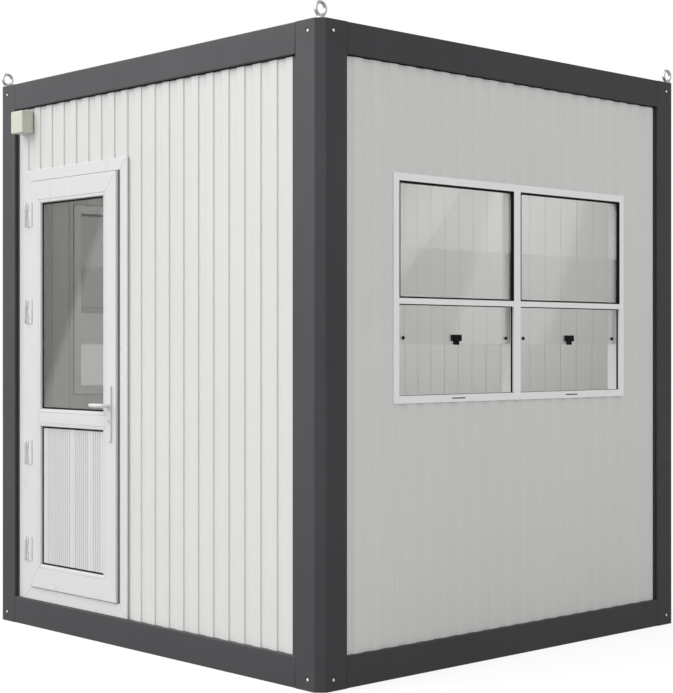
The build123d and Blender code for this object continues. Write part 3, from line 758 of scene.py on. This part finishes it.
# %% [markdown]
# The hinges are the slim barrel hinges of a plastic door. Each barrel has tapered caps, so it
# reads as a long narrow lens from the front. The upper and lower thirds belong to the frame and
# the middle one to the sash, with a hair line between them. A leaf joins each part to its side,
# and an apron fills the gap between the frame and the barrel behind each outer third.

# %% Hinges
HINGE_LENGTH = 120.0
HINGE_CENTRES = [door_frame_low.z + height for height in (250.0, 725.0, 1415.0, 1890.0)]
HINGE_RADIUS = 10.0
HINGE_CAP = 26.0
HINGE_POINT = 0.62
HINGE_SWELL = 2.2
HINGE_STEPS = 8
THIRD = HINGE_LENGTH / 6
LEAF = 4.0
hinge_x = sash_rect[0] - 20.0
hinge_y = sash_face - 8.0
leaf_left = rectangle("hinge_frame_leaves", "left")[0]
leaf_right = rectangle("hinge_sash_leaves", "left")[1]

shoulder = HINGE_LENGTH / 2 - HINGE_CAP
cap = [(0.0, THIRD + 0.5), (HINGE_RADIUS - 0.6, THIRD + 0.5), (HINGE_RADIUS, THIRD + 1.1)]
for k in range(HINGE_STEPS + 1):
    share = k / HINGE_STEPS
    cap.append((HINGE_RADIUS * (1 - HINGE_POINT * share ** HINGE_SWELL), shoulder + HINGE_CAP * share))
cap.append((0.0, HINGE_LENGTH / 2))
knuckle = [
    (0.0, -THIRD), (HINGE_RADIUS - 0.6, -THIRD), (HINGE_RADIUS, -THIRD + 0.6),
    (HINGE_RADIUS, THIRD - 0.6), (HINGE_RADIUS - 0.6, THIRD), (0.0, THIRD),
]
frame_side = bmesh.new()
sash_side = bmesh.new()
for z in HINGE_CENTRES:
    low = z - HINGE_LENGTH / 2
    high = z + HINGE_LENGTH / 2
    for sign in (1, -1):
        turned(frame_side, cap, (hinge_x, hinge_y, z), (0, 0, sign), 24)
    turned(sash_side, knuckle, (hinge_x, hinge_y, z), (0, 0, 1), 24)
    plate(frame_side, leaf_left, hinge_x, frame_face - LEAF, frame_face, low, high, 1.5)
    plate(sash_side, sash_rect[0] + 0.5, leaf_right, sash_face - LEAF, sash_face, low, high, 1.5)
    for z0, z1 in ((low + 6, z - THIRD - 0.5), (z + THIRD + 0.5, high - 6)):
        plate(frame_side, hinge_x - 7.0, sash_rect[0] - 0.8, hinge_y + 1.0, frame_face - 0.5, z0, z1, 2.0)
    plate(sash_side, hinge_x, sash_rect[0] + 2, sash_face - LEAF, sash_face - 0.3, z - THIRD, z + THIRD,
          0.8, 1)
make_piece(frame_side, "hinge_barrels_on_frame", door_white, "cabin", "left", ("hinge_frame_leaves",))
make_piece(sash_side, "hinge_barrels_on_sash", door_white, "door", "left", ("hinge_sash_leaves",))

# %% [markdown]
# ## Handle
# A long narrow plate with rounded corners carries the lever and the lock, on both sides of the
# door. A collar stands on it where the lever comes out.

# %% Handle plates
plate_low, plate_high = wall_box("handle_plates", "left")
lever_low, lever_high = wall_box("lever_outside", "left")
PLATE_HALF = 14.0
PLATE_THICK = 8.0
LEVER_R = 9.0
lever_x = lever_high.x - LEVER_R
lever_z = (lever_low.z + lever_high.z) / 2
COLLAR = [(0.0, 0.0), (13.0, 0.0), (13.0, 3.0), (12.0, 4.0), (10.2, 4.0), (10.2, 1.0), (0.0, 1.0)]
SIDES = ((sash_face, -1, sash_face - PLATE_THICK), (sash_back, 1, sash_back + PLATE_THICK))

plates = bmesh.new()
for face, out, top in SIDES:
    made = plate(
        plates, lever_x - PLATE_HALF, lever_x + PLATE_HALF, *sorted((face, top)), plate_low.z,
        plate_high.z)
    bevel(plates, {e for v in made for e in v.link_edges if through_wall(e)}, 6.0, 6)
    rim = [e for e in plates.edges if all(abs(v.co.y - top) < 0.01 for v in e.verts)]
    bevel(plates, rim, 1.8, 3)
    turned(plates, COLLAR, (lever_x, top, lever_z), (0, out, 0))
make_piece(plates, "handle_backplates", door_white, "door", "left", ("handle_plates",))

# %% [markdown]
# The lock shows a round rosette, an oval cylinder end below it and a thin keyway. A screw holds
# each end of the plate.

# %% Lock cylinders and screws
KEY_BARREL = [(0.0, 0.0), (8.0, 0.0), (8.0, 1.6), (7.4, 2.2), (6.0, 2.2), (5.6, 1.6), (0.0, 1.6)]
SCREW_HEAD = [(0.0, 0.0), (4.0, 0.0), (3.7, 0.7), (2.4, 1.3), (0.0, 1.5)]
SCREW_END = 14.0
KEYHOLE_DROP = 66.0
key_z = lever_z - KEYHOLE_DROP

locks = bmesh.new()
keyways = bmesh.new()
for face, out, top in SIDES:
    turned(locks, KEY_BARREL, (lever_x, top, key_z), (0, out, 0), 28)
    y0, y1 = sorted((top, top + out * 1.8))
    plate(locks, lever_x - 3.6, lever_x + 3.6, y0, y1, key_z - 20.0, key_z - 5.0, 3.0, 4, through_wall)
    y0, y1 = sorted((top + out * 1.2, top + out * 1.7))
    plate(keyways, lever_x - 0.9, lever_x + 0.9, y0, y1, key_z - 4.5, key_z + 4.5, 0.3, 1)
    for z in (plate_low.z + SCREW_END, plate_high.z - SCREW_END):
        turned(locks, SCREW_HEAD, (lever_x, top, z), (0, out, 0), 20)
make_piece(locks, "lock_cylinders_and_screws", zinc, "door", "left")
make_piece(keyways, "keyways", rubber, "door", "left")

# %% [markdown]
# The lever is a round bar that leaves the plate, bends and runs level towards the hinges. The
# bend is a spin of the bar's section about the centre of the bend, between two straight
# extrusions. Short extrusions that get thinner and thinner round the tip.

# %% Levers
LEVER_BEND = 14.0
LEVER_REACH = 38.0
LEVER_START = 1.2
LEVER_TIP = 8.0
TIP_STEPS = 5


def carry(bm, edges, shift):
    """Extrude a loop of edges along a straight run."""
    made = bmesh.ops.extrude_edge_only(bm, edges=edges)["geom"]
    verts = [v for v in made if isinstance(v, bmesh.types.BMVert)]
    bmesh.ops.translate(bm, vec=shift, verts=verts)
    return [e for e in made if isinstance(e, bmesh.types.BMEdge) and all(v in verts for v in e.verts)]


for node, (face, out, top) in zip(("lever_outside", "lever_inside"), SIDES):
    low, high = wall_box(node, "left")
    bm = bmesh.new()
    start = top + out * LEVER_START
    level = top + out * LEVER_REACH
    length = high.x - LEVER_R - low.x
    ring = bmesh.ops.create_circle(bm, segments=28, radius=LEVER_R, cap_ends=False)["verts"]
    bmesh.ops.rotate(bm, cent=(0, 0, 0), matrix=Matrix.Rotation(pi / 2, 3, "X"), verts=ring)
    bmesh.ops.translate(bm, vec=(lever_x, start, lever_z), verts=ring)
    edges = carry(bm, list({e for v in ring for e in v.link_edges}),
                  (0, level - start - out * LEVER_BEND, 0))
    bend = bmesh.ops.spin(
        bm, geom=edges, cent=(lever_x - LEVER_BEND, level - out * LEVER_BEND, lever_z),
        axis=(0, 0, 1), angle=out * pi / 2, steps=8)["geom_last"]
    edges = [e for e in bend if isinstance(e, bmesh.types.BMEdge)]
    edges = carry(bm, edges, (LEVER_BEND + LEVER_TIP - length, 0, 0))
    turn = 0.0
    for k in range(TIP_STEPS):
        before = turn
        turn = (k + 1) * pi / 2 / TIP_STEPS
        edges = carry(bm, edges, (LEVER_TIP * (sin(before) - sin(turn)), 0, 0))
        verts = {v for e in edges for v in e.verts}
        centre = sum((v.co for v in verts), Vector()) / len(verts)
        share = max(cos(turn), 0.02) / cos(before)
        squeeze = Matrix.Diagonal((1.0, share, share))
        for vert in verts:
            vert.co = centre + squeeze @ (vert.co - centre)
    bmesh.ops.contextual_create(bm, geom=edges)
    make_piece(bm, node + "_grip", door_white, "handle", "left", (node,))

# %% [markdown]
# ## The grooved infill
# The node already has the grooves of the infill panel, as shallow as a flat piece needs them.
# Here each one is pressed deeper, so it holds a shadow, and its upper edges are rounded a
# little, which gives the soft light line of a pressed skin.

# %% Infill
PRESSED = 2.0
SINK = 5.0
infill_low, infill_high = wall_box("door_infill", "left")
SKINS = ((infill_low.y, 1), (infill_high.y, -1))


def press_grooves(bm):
    """Push the foot of every groove deeper into the panel."""
    for vert in bm.verts:
        for skin, inward in SKINS:
            if abs(vert.co.x - skin - inward * PRESSED) < 0.1:
                vert.co.x = skin + inward * SINK


def groove_lip(edge):
    return upright_bend(edge) and any(abs(middle(edge).x - skin) < 0.1 for skin, inward in SKINS)


soften("door_infill", 0.4, groove_lip, segments=1, reshape=press_grooves)

# %% [markdown]
# ## Serving windows
# The window frame is aluminium, cut from hollow profile, so its edges are broken by a small
# radius only. Panes have ground edges. The upper panes stand in a black rubber channel, which
# lines the outer reveal. The sliding panes run in jambs with a black seal at the front.

# %% Window frames and panes
for side in ("front", "back"):
    soften(side + "_window_frame", 1.0, any_edge, segments=2)
for node in ("window_fixed_panes", "window_sliding_panes"):
    soften(node, 0.6, any_edge, segments=1)

# %% [markdown]
# Both windows are divided alike. The frame's covers on the inside of the wall are wider than
# its face, so they are taken off first. What is left has a sill and a head, a mullion in the
# middle and a transom, and so two bays with a fixed pane above and a sliding one below.

# %% Window sizes
COVER_EXTRA = 10.0
MEMBER = 32.0
MULLION = 44.0
TRANSOM = 24.0
TRANSOM_UP = 416.0
RAISED = 249.0


def window(side):
    """Face, outline and bays of a window; a bay is its left and its right edge."""
    left, right, foot, top = inset(rectangle(side + "_window_frame", side), COVER_EXTRA)
    centre = (left + right) / 2
    bays = ((left + MEMBER, centre - MULLION / 2), (centre + MULLION / 2, right - MEMBER))
    return wall_box(side + "_window_frame", side)[0].y, foot, top, bays


print("a bay is", round(window("front")[3][0][1] - window("front")[3][0][0]), "mm wide")

# %% [markdown]
# The rubber is drawn once on the front wall and once on the back wall. Each upper bay gets a
# broad wedge gasket that reaches out to the face of the frame, and each lower bay two seals
# along its jambs, a wiper under the transom and a drip edge along the sill. The slots that let
# rain out of the sill are lined with black too. White liners fill the empty stretches of the
# tracks, over and under the sliding panes. Inside the room a fine black bead of sealant runs
# round the covers.

# %% Window rubber, track liners and sealant
REVEAL = 13.0
BAND = 9.0
BAND_LOW = 7.0
WEEP_HALF = 42.5
PANE_TALL = 410.0
TRACK = (24.5, 33.5)
JAMB_SEAL = (10.0, 19.0)
WIPER = (19.5, 23.5)
DRIP_EDGE = (3.0, 6.0)
WEEP = (1.0, 2.9)
WEEP_TALL = 4.8
LINER_DEPTH = 8.0
SEALANT = 3.5
SEALANT_SECTION = [
    (0, -SEALANT, inner_face - 0.5), (0, -SEALANT, inner_face + 0.6),
    (0, 0.6, inner_face + SEALANT), (0, 1.5, inner_face - 0.5),
]


def strip(bm, x0, x1, z0, z1, depths, *rounding):
    """A strip between two depths behind the face of the window that is being drawn."""
    plate(bm, x0, x1, face + depths[0], face + depths[1], z0, z1, *rounding)


for side in ("front", "back"):
    face, foot, top, bays = window(side)
    sill = foot + MEMBER
    head = top - MEMBER
    transom = foot + TRANSOM_UP
    weep = foot + MEMBER / 2
    glass_foot = foot + RAISED - 2.0
    pane_y = face + REVEAL
    section = [
        (0, 0.0, face + 0.6), (1, 3.0, face + 1.0), (1, 0.8, face + 1.8), (1, 0.0, face + 3.6),
        (1, 0.0, pane_y), (0, 0.0, pane_y),
    ]
    bm = bmesh.new()
    liners = bmesh.new()
    for x0, x1 in bays:
        x = (x0 + x1) / 2
        bay = (x0, x1, transom + TRANSOM, head)
        mitred_frame(bm, bay, inset(bay, BAND, BAND_LOW, BAND), section, groove=False)
        strip(bm, x0, x0 + 2.5, sill, transom, JAMB_SEAL, 0.8)
        strip(bm, x1 - 2.0, x1, sill, transom, JAMB_SEAL, 0.8)
        strip(bm, x0, x1, transom - 4.0, transom, WIPER, 0.8, 1)
        strip(bm, x0, x1, sill, sill + 2.4, DRIP_EDGE, 0.6, 1)
        strip(bm, x - WEEP_HALF, x + WEEP_HALF, weep - WEEP_TALL / 2, weep + WEEP_TALL / 2, WEEP)
        for a, b in ((x0 - LINER_DEPTH, x0 - 0.5), (x1 + 0.5, x1 + LINER_DEPTH)):
            for z0, z1 in ((glass_foot + PANE_TALL, head), (sill, glass_foot)):
                strip(liners, a, b, z0, z1, TRACK)
    make_piece(bm, side + "_window_rubber", rubber, "cabin", side)
    make_piece(liners, side + "_window_track_liners", window_white, "cabin", side)
    around = rectangle(side + "_window_frame", side)
    bead = bmesh.new()
    mitred_frame(bead, around, around, SEALANT_SECTION, groove=False)
    make_piece(bead, side + "_window_sealant", rubber, "cabin", side)

# %% [markdown]
# Each sliding pane has a black latch at its foot, with a tongue that drops into the sill, and
# a round knob near each lower corner. The latch body has a thumb turn, and the knobs are
# domed.

# %% Latches and knobs
SLIDE_REVEAL = 26.0
LATCH_HALF = 31.5
LATCH_HEIGHT = 28.0
LATCH_DEPTH = 9.0
TONGUE_HALF = 16.5
TONGUE_HEIGHT = 12.0
KNOB_INSET = 38.0
KNOB_RISE = 25.0
RIGHTWARD = 7.0
THUMB_TURN = [(0.0, 0.0), (8.0, 0.0), (8.0, 1.2), (7.2, 2.0), (0.0, 2.0)]
KNOB = [
    (0.0, 0.0), (6.0, 0.0), (6.0, 2.0), (8.0, 3.0), (8.0, 5.4), (6.6, 7.0), (3.8, 7.8), (0.0, 8.0)]

bm = bmesh.new()
for side in ("front", "back"):
    face, foot, top, bays = window(side)
    y = face + SLIDE_REVEAL
    foot += RAISED
    latch = foot + TONGUE_HEIGHT
    old = set(bm.verts)
    for x0, x1 in bays:
        x = (x0 + x1) / 2 + RIGHTWARD
        plate(bm, x - LATCH_HALF, x + LATCH_HALF, y - LATCH_DEPTH, y, latch, latch + LATCH_HEIGHT, 1.0)
        plate(bm, x - TONGUE_HALF, x + TONGUE_HALF, y - LATCH_DEPTH + 1, y - 0.5, foot - 4.0, latch + 1,
              1.0)
        thumb = (x, y - LATCH_DEPTH + 1.0, latch + LATCH_HEIGHT / 2)
        turned(bm, THUMB_TURN, thumb, (0, -1, 0), 24)
        for knob_x in (x0 + KNOB_INSET + RIGHTWARD, x1 - KNOB_INSET + RIGHTWARD):
            turned(bm, KNOB, (knob_x, y, foot + KNOB_RISE), (0, -1, 0), 24)
    turn_onto(bm, side, old)
make_piece(bm, "window_latches_and_knobs", black_plastic, "cabin", None, ("window_latches",))

# %% [markdown]
# ## Lifting eyes
# A lifting eye is forged: a round ring that flows into a tapered neck on a collar. Joined
# exactly, the parts would meet in hard lines, so at first they only overlap.

# %% Shape an eye
EYE_UP = 39.0
EYE_HOLE = 20.0
EYE_MIDDLE = 26.5
EYE_THICK = 6.6
EYE_HALF_DEEP = 8.0
RING_SIDES = 20
NECK = 14.0
NECK_TALL = EYE_UP - EYE_HOLE - 1.5
NECK_FLAT = 0.55
FLANK_TILT = radians(27)
FLANK_R = 6.5
FLANK_TALL = 36.0
FLANK_OUT = 17.5
FLANK_UP = 18.5
EYE_COLLAR = [(0, 0), (18.8, 0), (18.8, 4), (17.5, 6), (0, 6)]


def add_cone(bm, segments, foot, top, tall, matrix, shift):
    """A cone that is squashed or tilted by a matrix and then moved."""
    made = bmesh.ops.create_cone(
        bm, cap_ends=True, segments=segments, radius1=foot, radius2=top, depth=tall)
    for vert in made["verts"]:
        vert.co = matrix @ vert.co + Vector(shift)


eye = bmesh.new()
around = [2 * pi * k / RING_SIDES for k in range(RING_SIDES)]
verts = [eye.verts.new((EYE_MIDDLE + EYE_THICK * cos(a), EYE_HALF_DEEP * sin(a), 0)) for a in around]
edges = [eye.edges.new((verts[k], verts[(k + 1) % RING_SIDES])) for k in range(RING_SIDES)]
bmesh.ops.spin(
    eye, geom=verts + edges, cent=(0, 0, 0), axis=(0, 1, 0), angle=2 * pi, steps=48, use_merge=True)
bmesh.ops.translate(eye, vec=(0, 0, EYE_UP), verts=eye.verts)
squash = Matrix.Diagonal((1.0, NECK_FLAT, 1.0))
add_cone(eye, 24, NECK, NECK + 2.0, NECK_TALL, squash, (0, 0, NECK_TALL / 2))
for sign in (-1, 1):
    tilt = Matrix.Rotation(sign * FLANK_TILT, 3, "Y")
    add_cone(eye, 20, FLANK_R, FLANK_R, FLANK_TALL, tilt, (sign * FLANK_OUT, 0, FLANK_UP))
turned(eye, EYE_COLLAR, (0, 0, 0), (0, 0, 1), 40)
merge_and_orient(eye)
print("an eye of", len(eye.faces), "faces in five overlapping parts")

# %% [markdown]
# The voxels melt the parts into one skin, and three rounds of smoothing take their steps away.
# The foot is pressed flat onto the post again.

# %% Forge the eyes
EYE_INSET = 31.0
VOXEL = 1.4
SMOOTHINGS = 3

blank = add_mesh("eye blank", eye)
eye.free()
melt = blank.modifiers.new("melt", "REMESH")
melt.mode = "VOXEL"
melt.voxel_size = VOXEL
melted = bpy.data.meshes.new_from_object(blank.evaluated_get(bpy.context.evaluated_depsgraph_get()))
bpy.data.objects.remove(blank)
eye = bmesh.new()
eye.from_mesh(melted)
for _ in range(SMOOTHINGS):
    bmesh.ops.smooth_vert(
        eye, verts=eye.verts, factor=0.5, use_axis_x=True, use_axis_y=True, use_axis_z=True)
lowest = min(v.co.z for v in eye.verts)
for vert in eye.verts:
    if vert.co.z < lowest + 1.0:
        vert.co.z = 0.0
eye.to_mesh(melted)
eye.free()

bm = bmesh.new()
corner = HALF - EYE_INSET
for place in ((-corner, -corner), (-corner, corner), (corner, -corner), (corner, corner)):
    before = set(bm.verts)
    bm.from_mesh(melted)
    fresh = [v for v in bm.verts if v not in before]
    bmesh.ops.translate(bm, vec=(*place, post_top), verts=fresh)
make_piece(bm, "forged_lifting_eyes", zinc, "cabin", None, ("lifting_eyes",), whole=True)

# %% [markdown]
# ## Fasteners of the posts
# In each dimple lies a black sealing washer with a dome-headed bolt on it. The head wears a
# white cap and ends level with the face of the post.

# %% Post bolts
WASHER = [(0, 0), (9.2, 0), (9.2, 0.7), (8.6, 1.0), (0, 1.0)]
CAP = [(0, 0.8), (6.6, 0.8), (6.5, 1.3), (5.4, 2.0), (3.2, 2.4), (0, 2.5)]
for name, outline, material in (
        ("post_bolt_washers", WASHER, rubber), ("post_bolt_heads", CAP, cap_white)):
    bm = bmesh.new()
    at_each_bolt(bm, outline, DIMPLE)
    make_piece(bm, name, material, "cabin")

# %% [markdown]
# ## Sealant
# A black strip lies in the joint between each wall and the rail above it, as painted shade for
# the shadow under the rail. From the ground it is a thin dark line.

# %% Painted shade under the top rails
RAIL_SHADE_STRIP = 4.0
# A black strip paints the shade that falls under each top rail.
bm = bmesh.new()
for side in TURNS:
    low, high = wall_box("top_rail_" + side, side)
    old = set(bm.verts)
    plate(bm, low.x, high.x, crest - 1.5, crest + 7.0, low.z - RAIL_SHADE_STRIP, low.z)
    turn_onto(bm, side, old)
make_piece(bm, "wall_top_painted_shade", rubber, "cabin")

# %% [markdown]
# ## Cable box
# The box has a base and a lid with a fine shadow line between them, softly rounded corners,
# and four sunk screws in the lid.

# %% Cable box
LID = 22.0
LID_GAP = 1.2
SCREW_IN = 12.0
LID_SCREW = [(0, -0.4), (4.2, -0.4), (4.2, 0.3), (3.4, 0.8), (0, 0.8)]
box_low, box_high = wall_box("junction_box", "left")
left, right, foot, top = rectangle("junction_box", "left")
face = box_low.y
joint = face + LID

bm = bmesh.new()
for y0, y1 in ((joint + LID_GAP, box_high.y), (face, joint)):
    plate(bm, left, right, y0, y1, foot, top, 7.0, 5, through_wall)
plate(bm, left + 2, right - 2, joint - 1, joint + 3, foot + 2, top - 2)
rim = [
    e for e in bm.edges
    if all(abs(v.co.y - face) < 0.01 for v in e.verts) and len(e.link_faces) == 2]
bevel(bm, rim, 2.5, 3)
make_piece(bm, "cable_box_shell", box_cream, "cabin", "left", ("junction_box",))
bm = bmesh.new()
for x in (left + SCREW_IN, right - SCREW_IN):
    for z in (foot + SCREW_IN, top - SCREW_IN):
        turned(bm, LID_SCREW, (x, face, z), (0, -1, 0), 20)
make_piece(bm, "cable_box_screws", box_cream, "cabin", "left")

# %% [markdown]
# ## Stage, light and camera
# The floor is plain and pale. It is lit less for the camera than for the cabin, and a glossy
# ray finds it as one even grey.

# %% Floor
FLOOR = 40.0
UNDER = 0.001


def grey(level):
    return level, level, level, 1.0


bm = bmesh.new()
bmesh.ops.create_grid(bm, x_segments=1, y_segments=1, size=FLOOR / 2)
floor = add_mesh("floor", bm)
bm.free()
floor.location.z = -UNDER
pale = bpy.data.materials.new("pale floor")
pale.use_nodes = True
tree = pale.node_tree
tree.nodes.remove(tree.nodes["Principled BSDF"])
rays = wire(tree, "LightPath", {}, "Is Camera Ray").node.outputs
bounce = wire(tree, "BsdfDiffuse", {"Color": grey(0.5)}, "BSDF")
lit = wire(tree, "BsdfDiffuse", {"Color": grey(0.16)}, "BSDF")
bright = wire(tree, "Emission", {"Color": grey(1.0), "Strength": 0.86}, "Emission")
mirrored = wire(tree, "Emission", {"Color": (0.42, 0.42, 0.41, 1.0)}, "Emission")
pictured = wire(tree, "AddShader", {0: lit, 1: bright}, "Shader")
shown = wire(tree, "MixShader", {"Fac": rays["Is Camera Ray"], 1: bounce, 2: pictured}, "Shader")
shown = wire(tree, "MixShader", {"Fac": rays["Is Glossy Ray"], 1: shown, 2: mirrored}, "Shader")
tree.links.new(shown, tree.nodes["Material Output"].inputs["Surface"])
floor.data.materials.append(pale)
print("floor", FLOOR, "m square")

# %% [markdown]
# A studio keeps its glass alive with soft boxes. Here they are only seen in reflections: one
# tall box whose edge slants across the door's pane, and one slanting strip in the windows. The
# rest of what metal and glass mirror is a grey sky, lighter on the side of the door. The camera
# sees a white backdrop, also through the glass, and everything else is lit by a dimmer one.

# %% The white world
AMBIENT = 0.68
WINDOW_SKY = 0.50
DOOR_SKY = 0.22
TALL_BOX = 1.7
STRIP_BOX = 0.55
MIRRORED_TONE = 0.8

world = bpy.data.worlds.new("studio")
bpy.context.scene.world = world
world.use_nodes = True
tree = world.node_tree
tree.nodes.remove(tree.nodes["Background"])
rays = wire(tree, "LightPath", {}, "Is Camera Ray").node.outputs
where = wire(tree, "TexCoord", {}, "Generated")


def half_sky(towards, blur):
    """One on the half of the sky towards a direction and nought on the other, with a soft edge."""
    across = wire(tree, "VectorMath", {0: where, 1: towards}, "Value", operation="DOT_PRODUCT")
    return wire(tree, "MapRange", {"Value": across, "From Min": -blur, "From Max": blur}, "Result")


def reckon(operation, *values):
    """A sum or product of numbers and outputs of nodes."""
    return wire(tree, "Math", dict(enumerate(values)), "Value", operation=operation)


def sky(strength, tone=1.0):
    """An even sky of a strength, white unless a grey tone is given."""
    return wire(tree, "Background", {"Color": grey(tone), "Strength": strength}, "Background")


door_side = half_sky((-0.7071, 0.7071, 0.0), 0.3)
window_side = reckon("SUBTRACT", 1.0, door_side)
tall_box = reckon("MULTIPLY", door_side, half_sky((-0.7908, -0.5195, -0.3238), 0.003))
strip_left = half_sky((0.6551, 0.7085, -0.2625), 0.004)
strip_right = half_sky((-0.6145, -0.7451, 0.2592), 0.004)
strip_box = reckon("MULTIPLY", window_side, reckon("MULTIPLY", strip_left, strip_right))
level = reckon("MULTIPLY_ADD", door_side, DOOR_SKY, WINDOW_SKY)
level = reckon("MULTIPLY_ADD", tall_box, TALL_BOX, level)
level = reckon("MULTIPLY_ADD", strip_box, STRIP_BOX, level)

through = rays["Is Transmission Ray"]
shows = reckon("MAXIMUM", rays["Is Camera Ray"], through)
mirrors = reckon("MULTIPLY", rays["Is Glossy Ray"], reckon("SUBTRACT", 1.0, through))
shown = wire(tree, "MixShader", {"Fac": shows, 1: sky(AMBIENT), 2: sky(1.0)}, "Shader")
shown = wire(tree, "MixShader", {"Fac": mirrors, 1: shown, 2: sky(level, MIRRORED_TONE)}, "Shader")
tree.links.new(shown, tree.nodes["World Output"].inputs["Surface"])
print("a white world with two mirrored soft boxes")

# %% [markdown]
# Two broad lamps stand for the light of an overcast day, one over the door wall and a weaker
# one in front. A ceiling lamp brightens the room behind the glass.

# %% Lamps
def sky_lamp(name, towards, strength, spread):
    """A soft lamp so far away that it lights the whole cabin evenly."""
    light = bpy.data.lights.new(name, "SUN")
    light.energy = strength
    light.angle = radians(spread)
    lamp = add_object(name, light)
    lamp.rotation_euler = (-Vector(towards)).to_track_quat("-Z", "Y").to_euler()


sky_lamp("key", (-0.85, 0.6, 0.95), 2.3, 60.0)
sky_lamp("fill", (0.1, -1.0, 0.5), 0.48, 90.0)
ceiling = bpy.data.lights.new("ceiling", "AREA")
ceiling.shape = "SQUARE"
ceiling.size = 1.6
ceiling.energy = 26.0
add_object("ceiling", ceiling).location = (0.0, 0.0, 2.5)
print("lit by", len(bpy.data.lights), "lamps")

# %% [markdown]
# The camera stands where the photograph was taken from: the vanishing points of the cabin's
# lines give its place, its heading and its lens.

# %% Camera
CAMERA_PLACE = (-5.4659, -5.8572, 1.3774)
CAMERA_HEADING = radians(-43.08)
FOCAL_PIXELS = 1598.08
PHOTO_HEIGHT = 693.0
HORIZON_PIXEL = 345.65
SENSOR = 36.0
lens = bpy.data.cameras.new("camera")
lens.sensor_width = SENSOR
lens.lens = FOCAL_PIXELS / PHOTO_HEIGHT * SENSOR
lens.shift_y = (HORIZON_PIXEL - PHOTO_HEIGHT / 2) / PHOTO_HEIGHT
camera = add_object("camera", lens)
camera.location = CAMERA_PLACE
camera.rotation_euler = (pi / 2, 0.0, CAMERA_HEADING)
bpy.context.scene.camera = camera
bpy.context.scene.view_settings.view_transform = "Standard"
print("camera with a", round(lens.lens, 1), "mm lens")
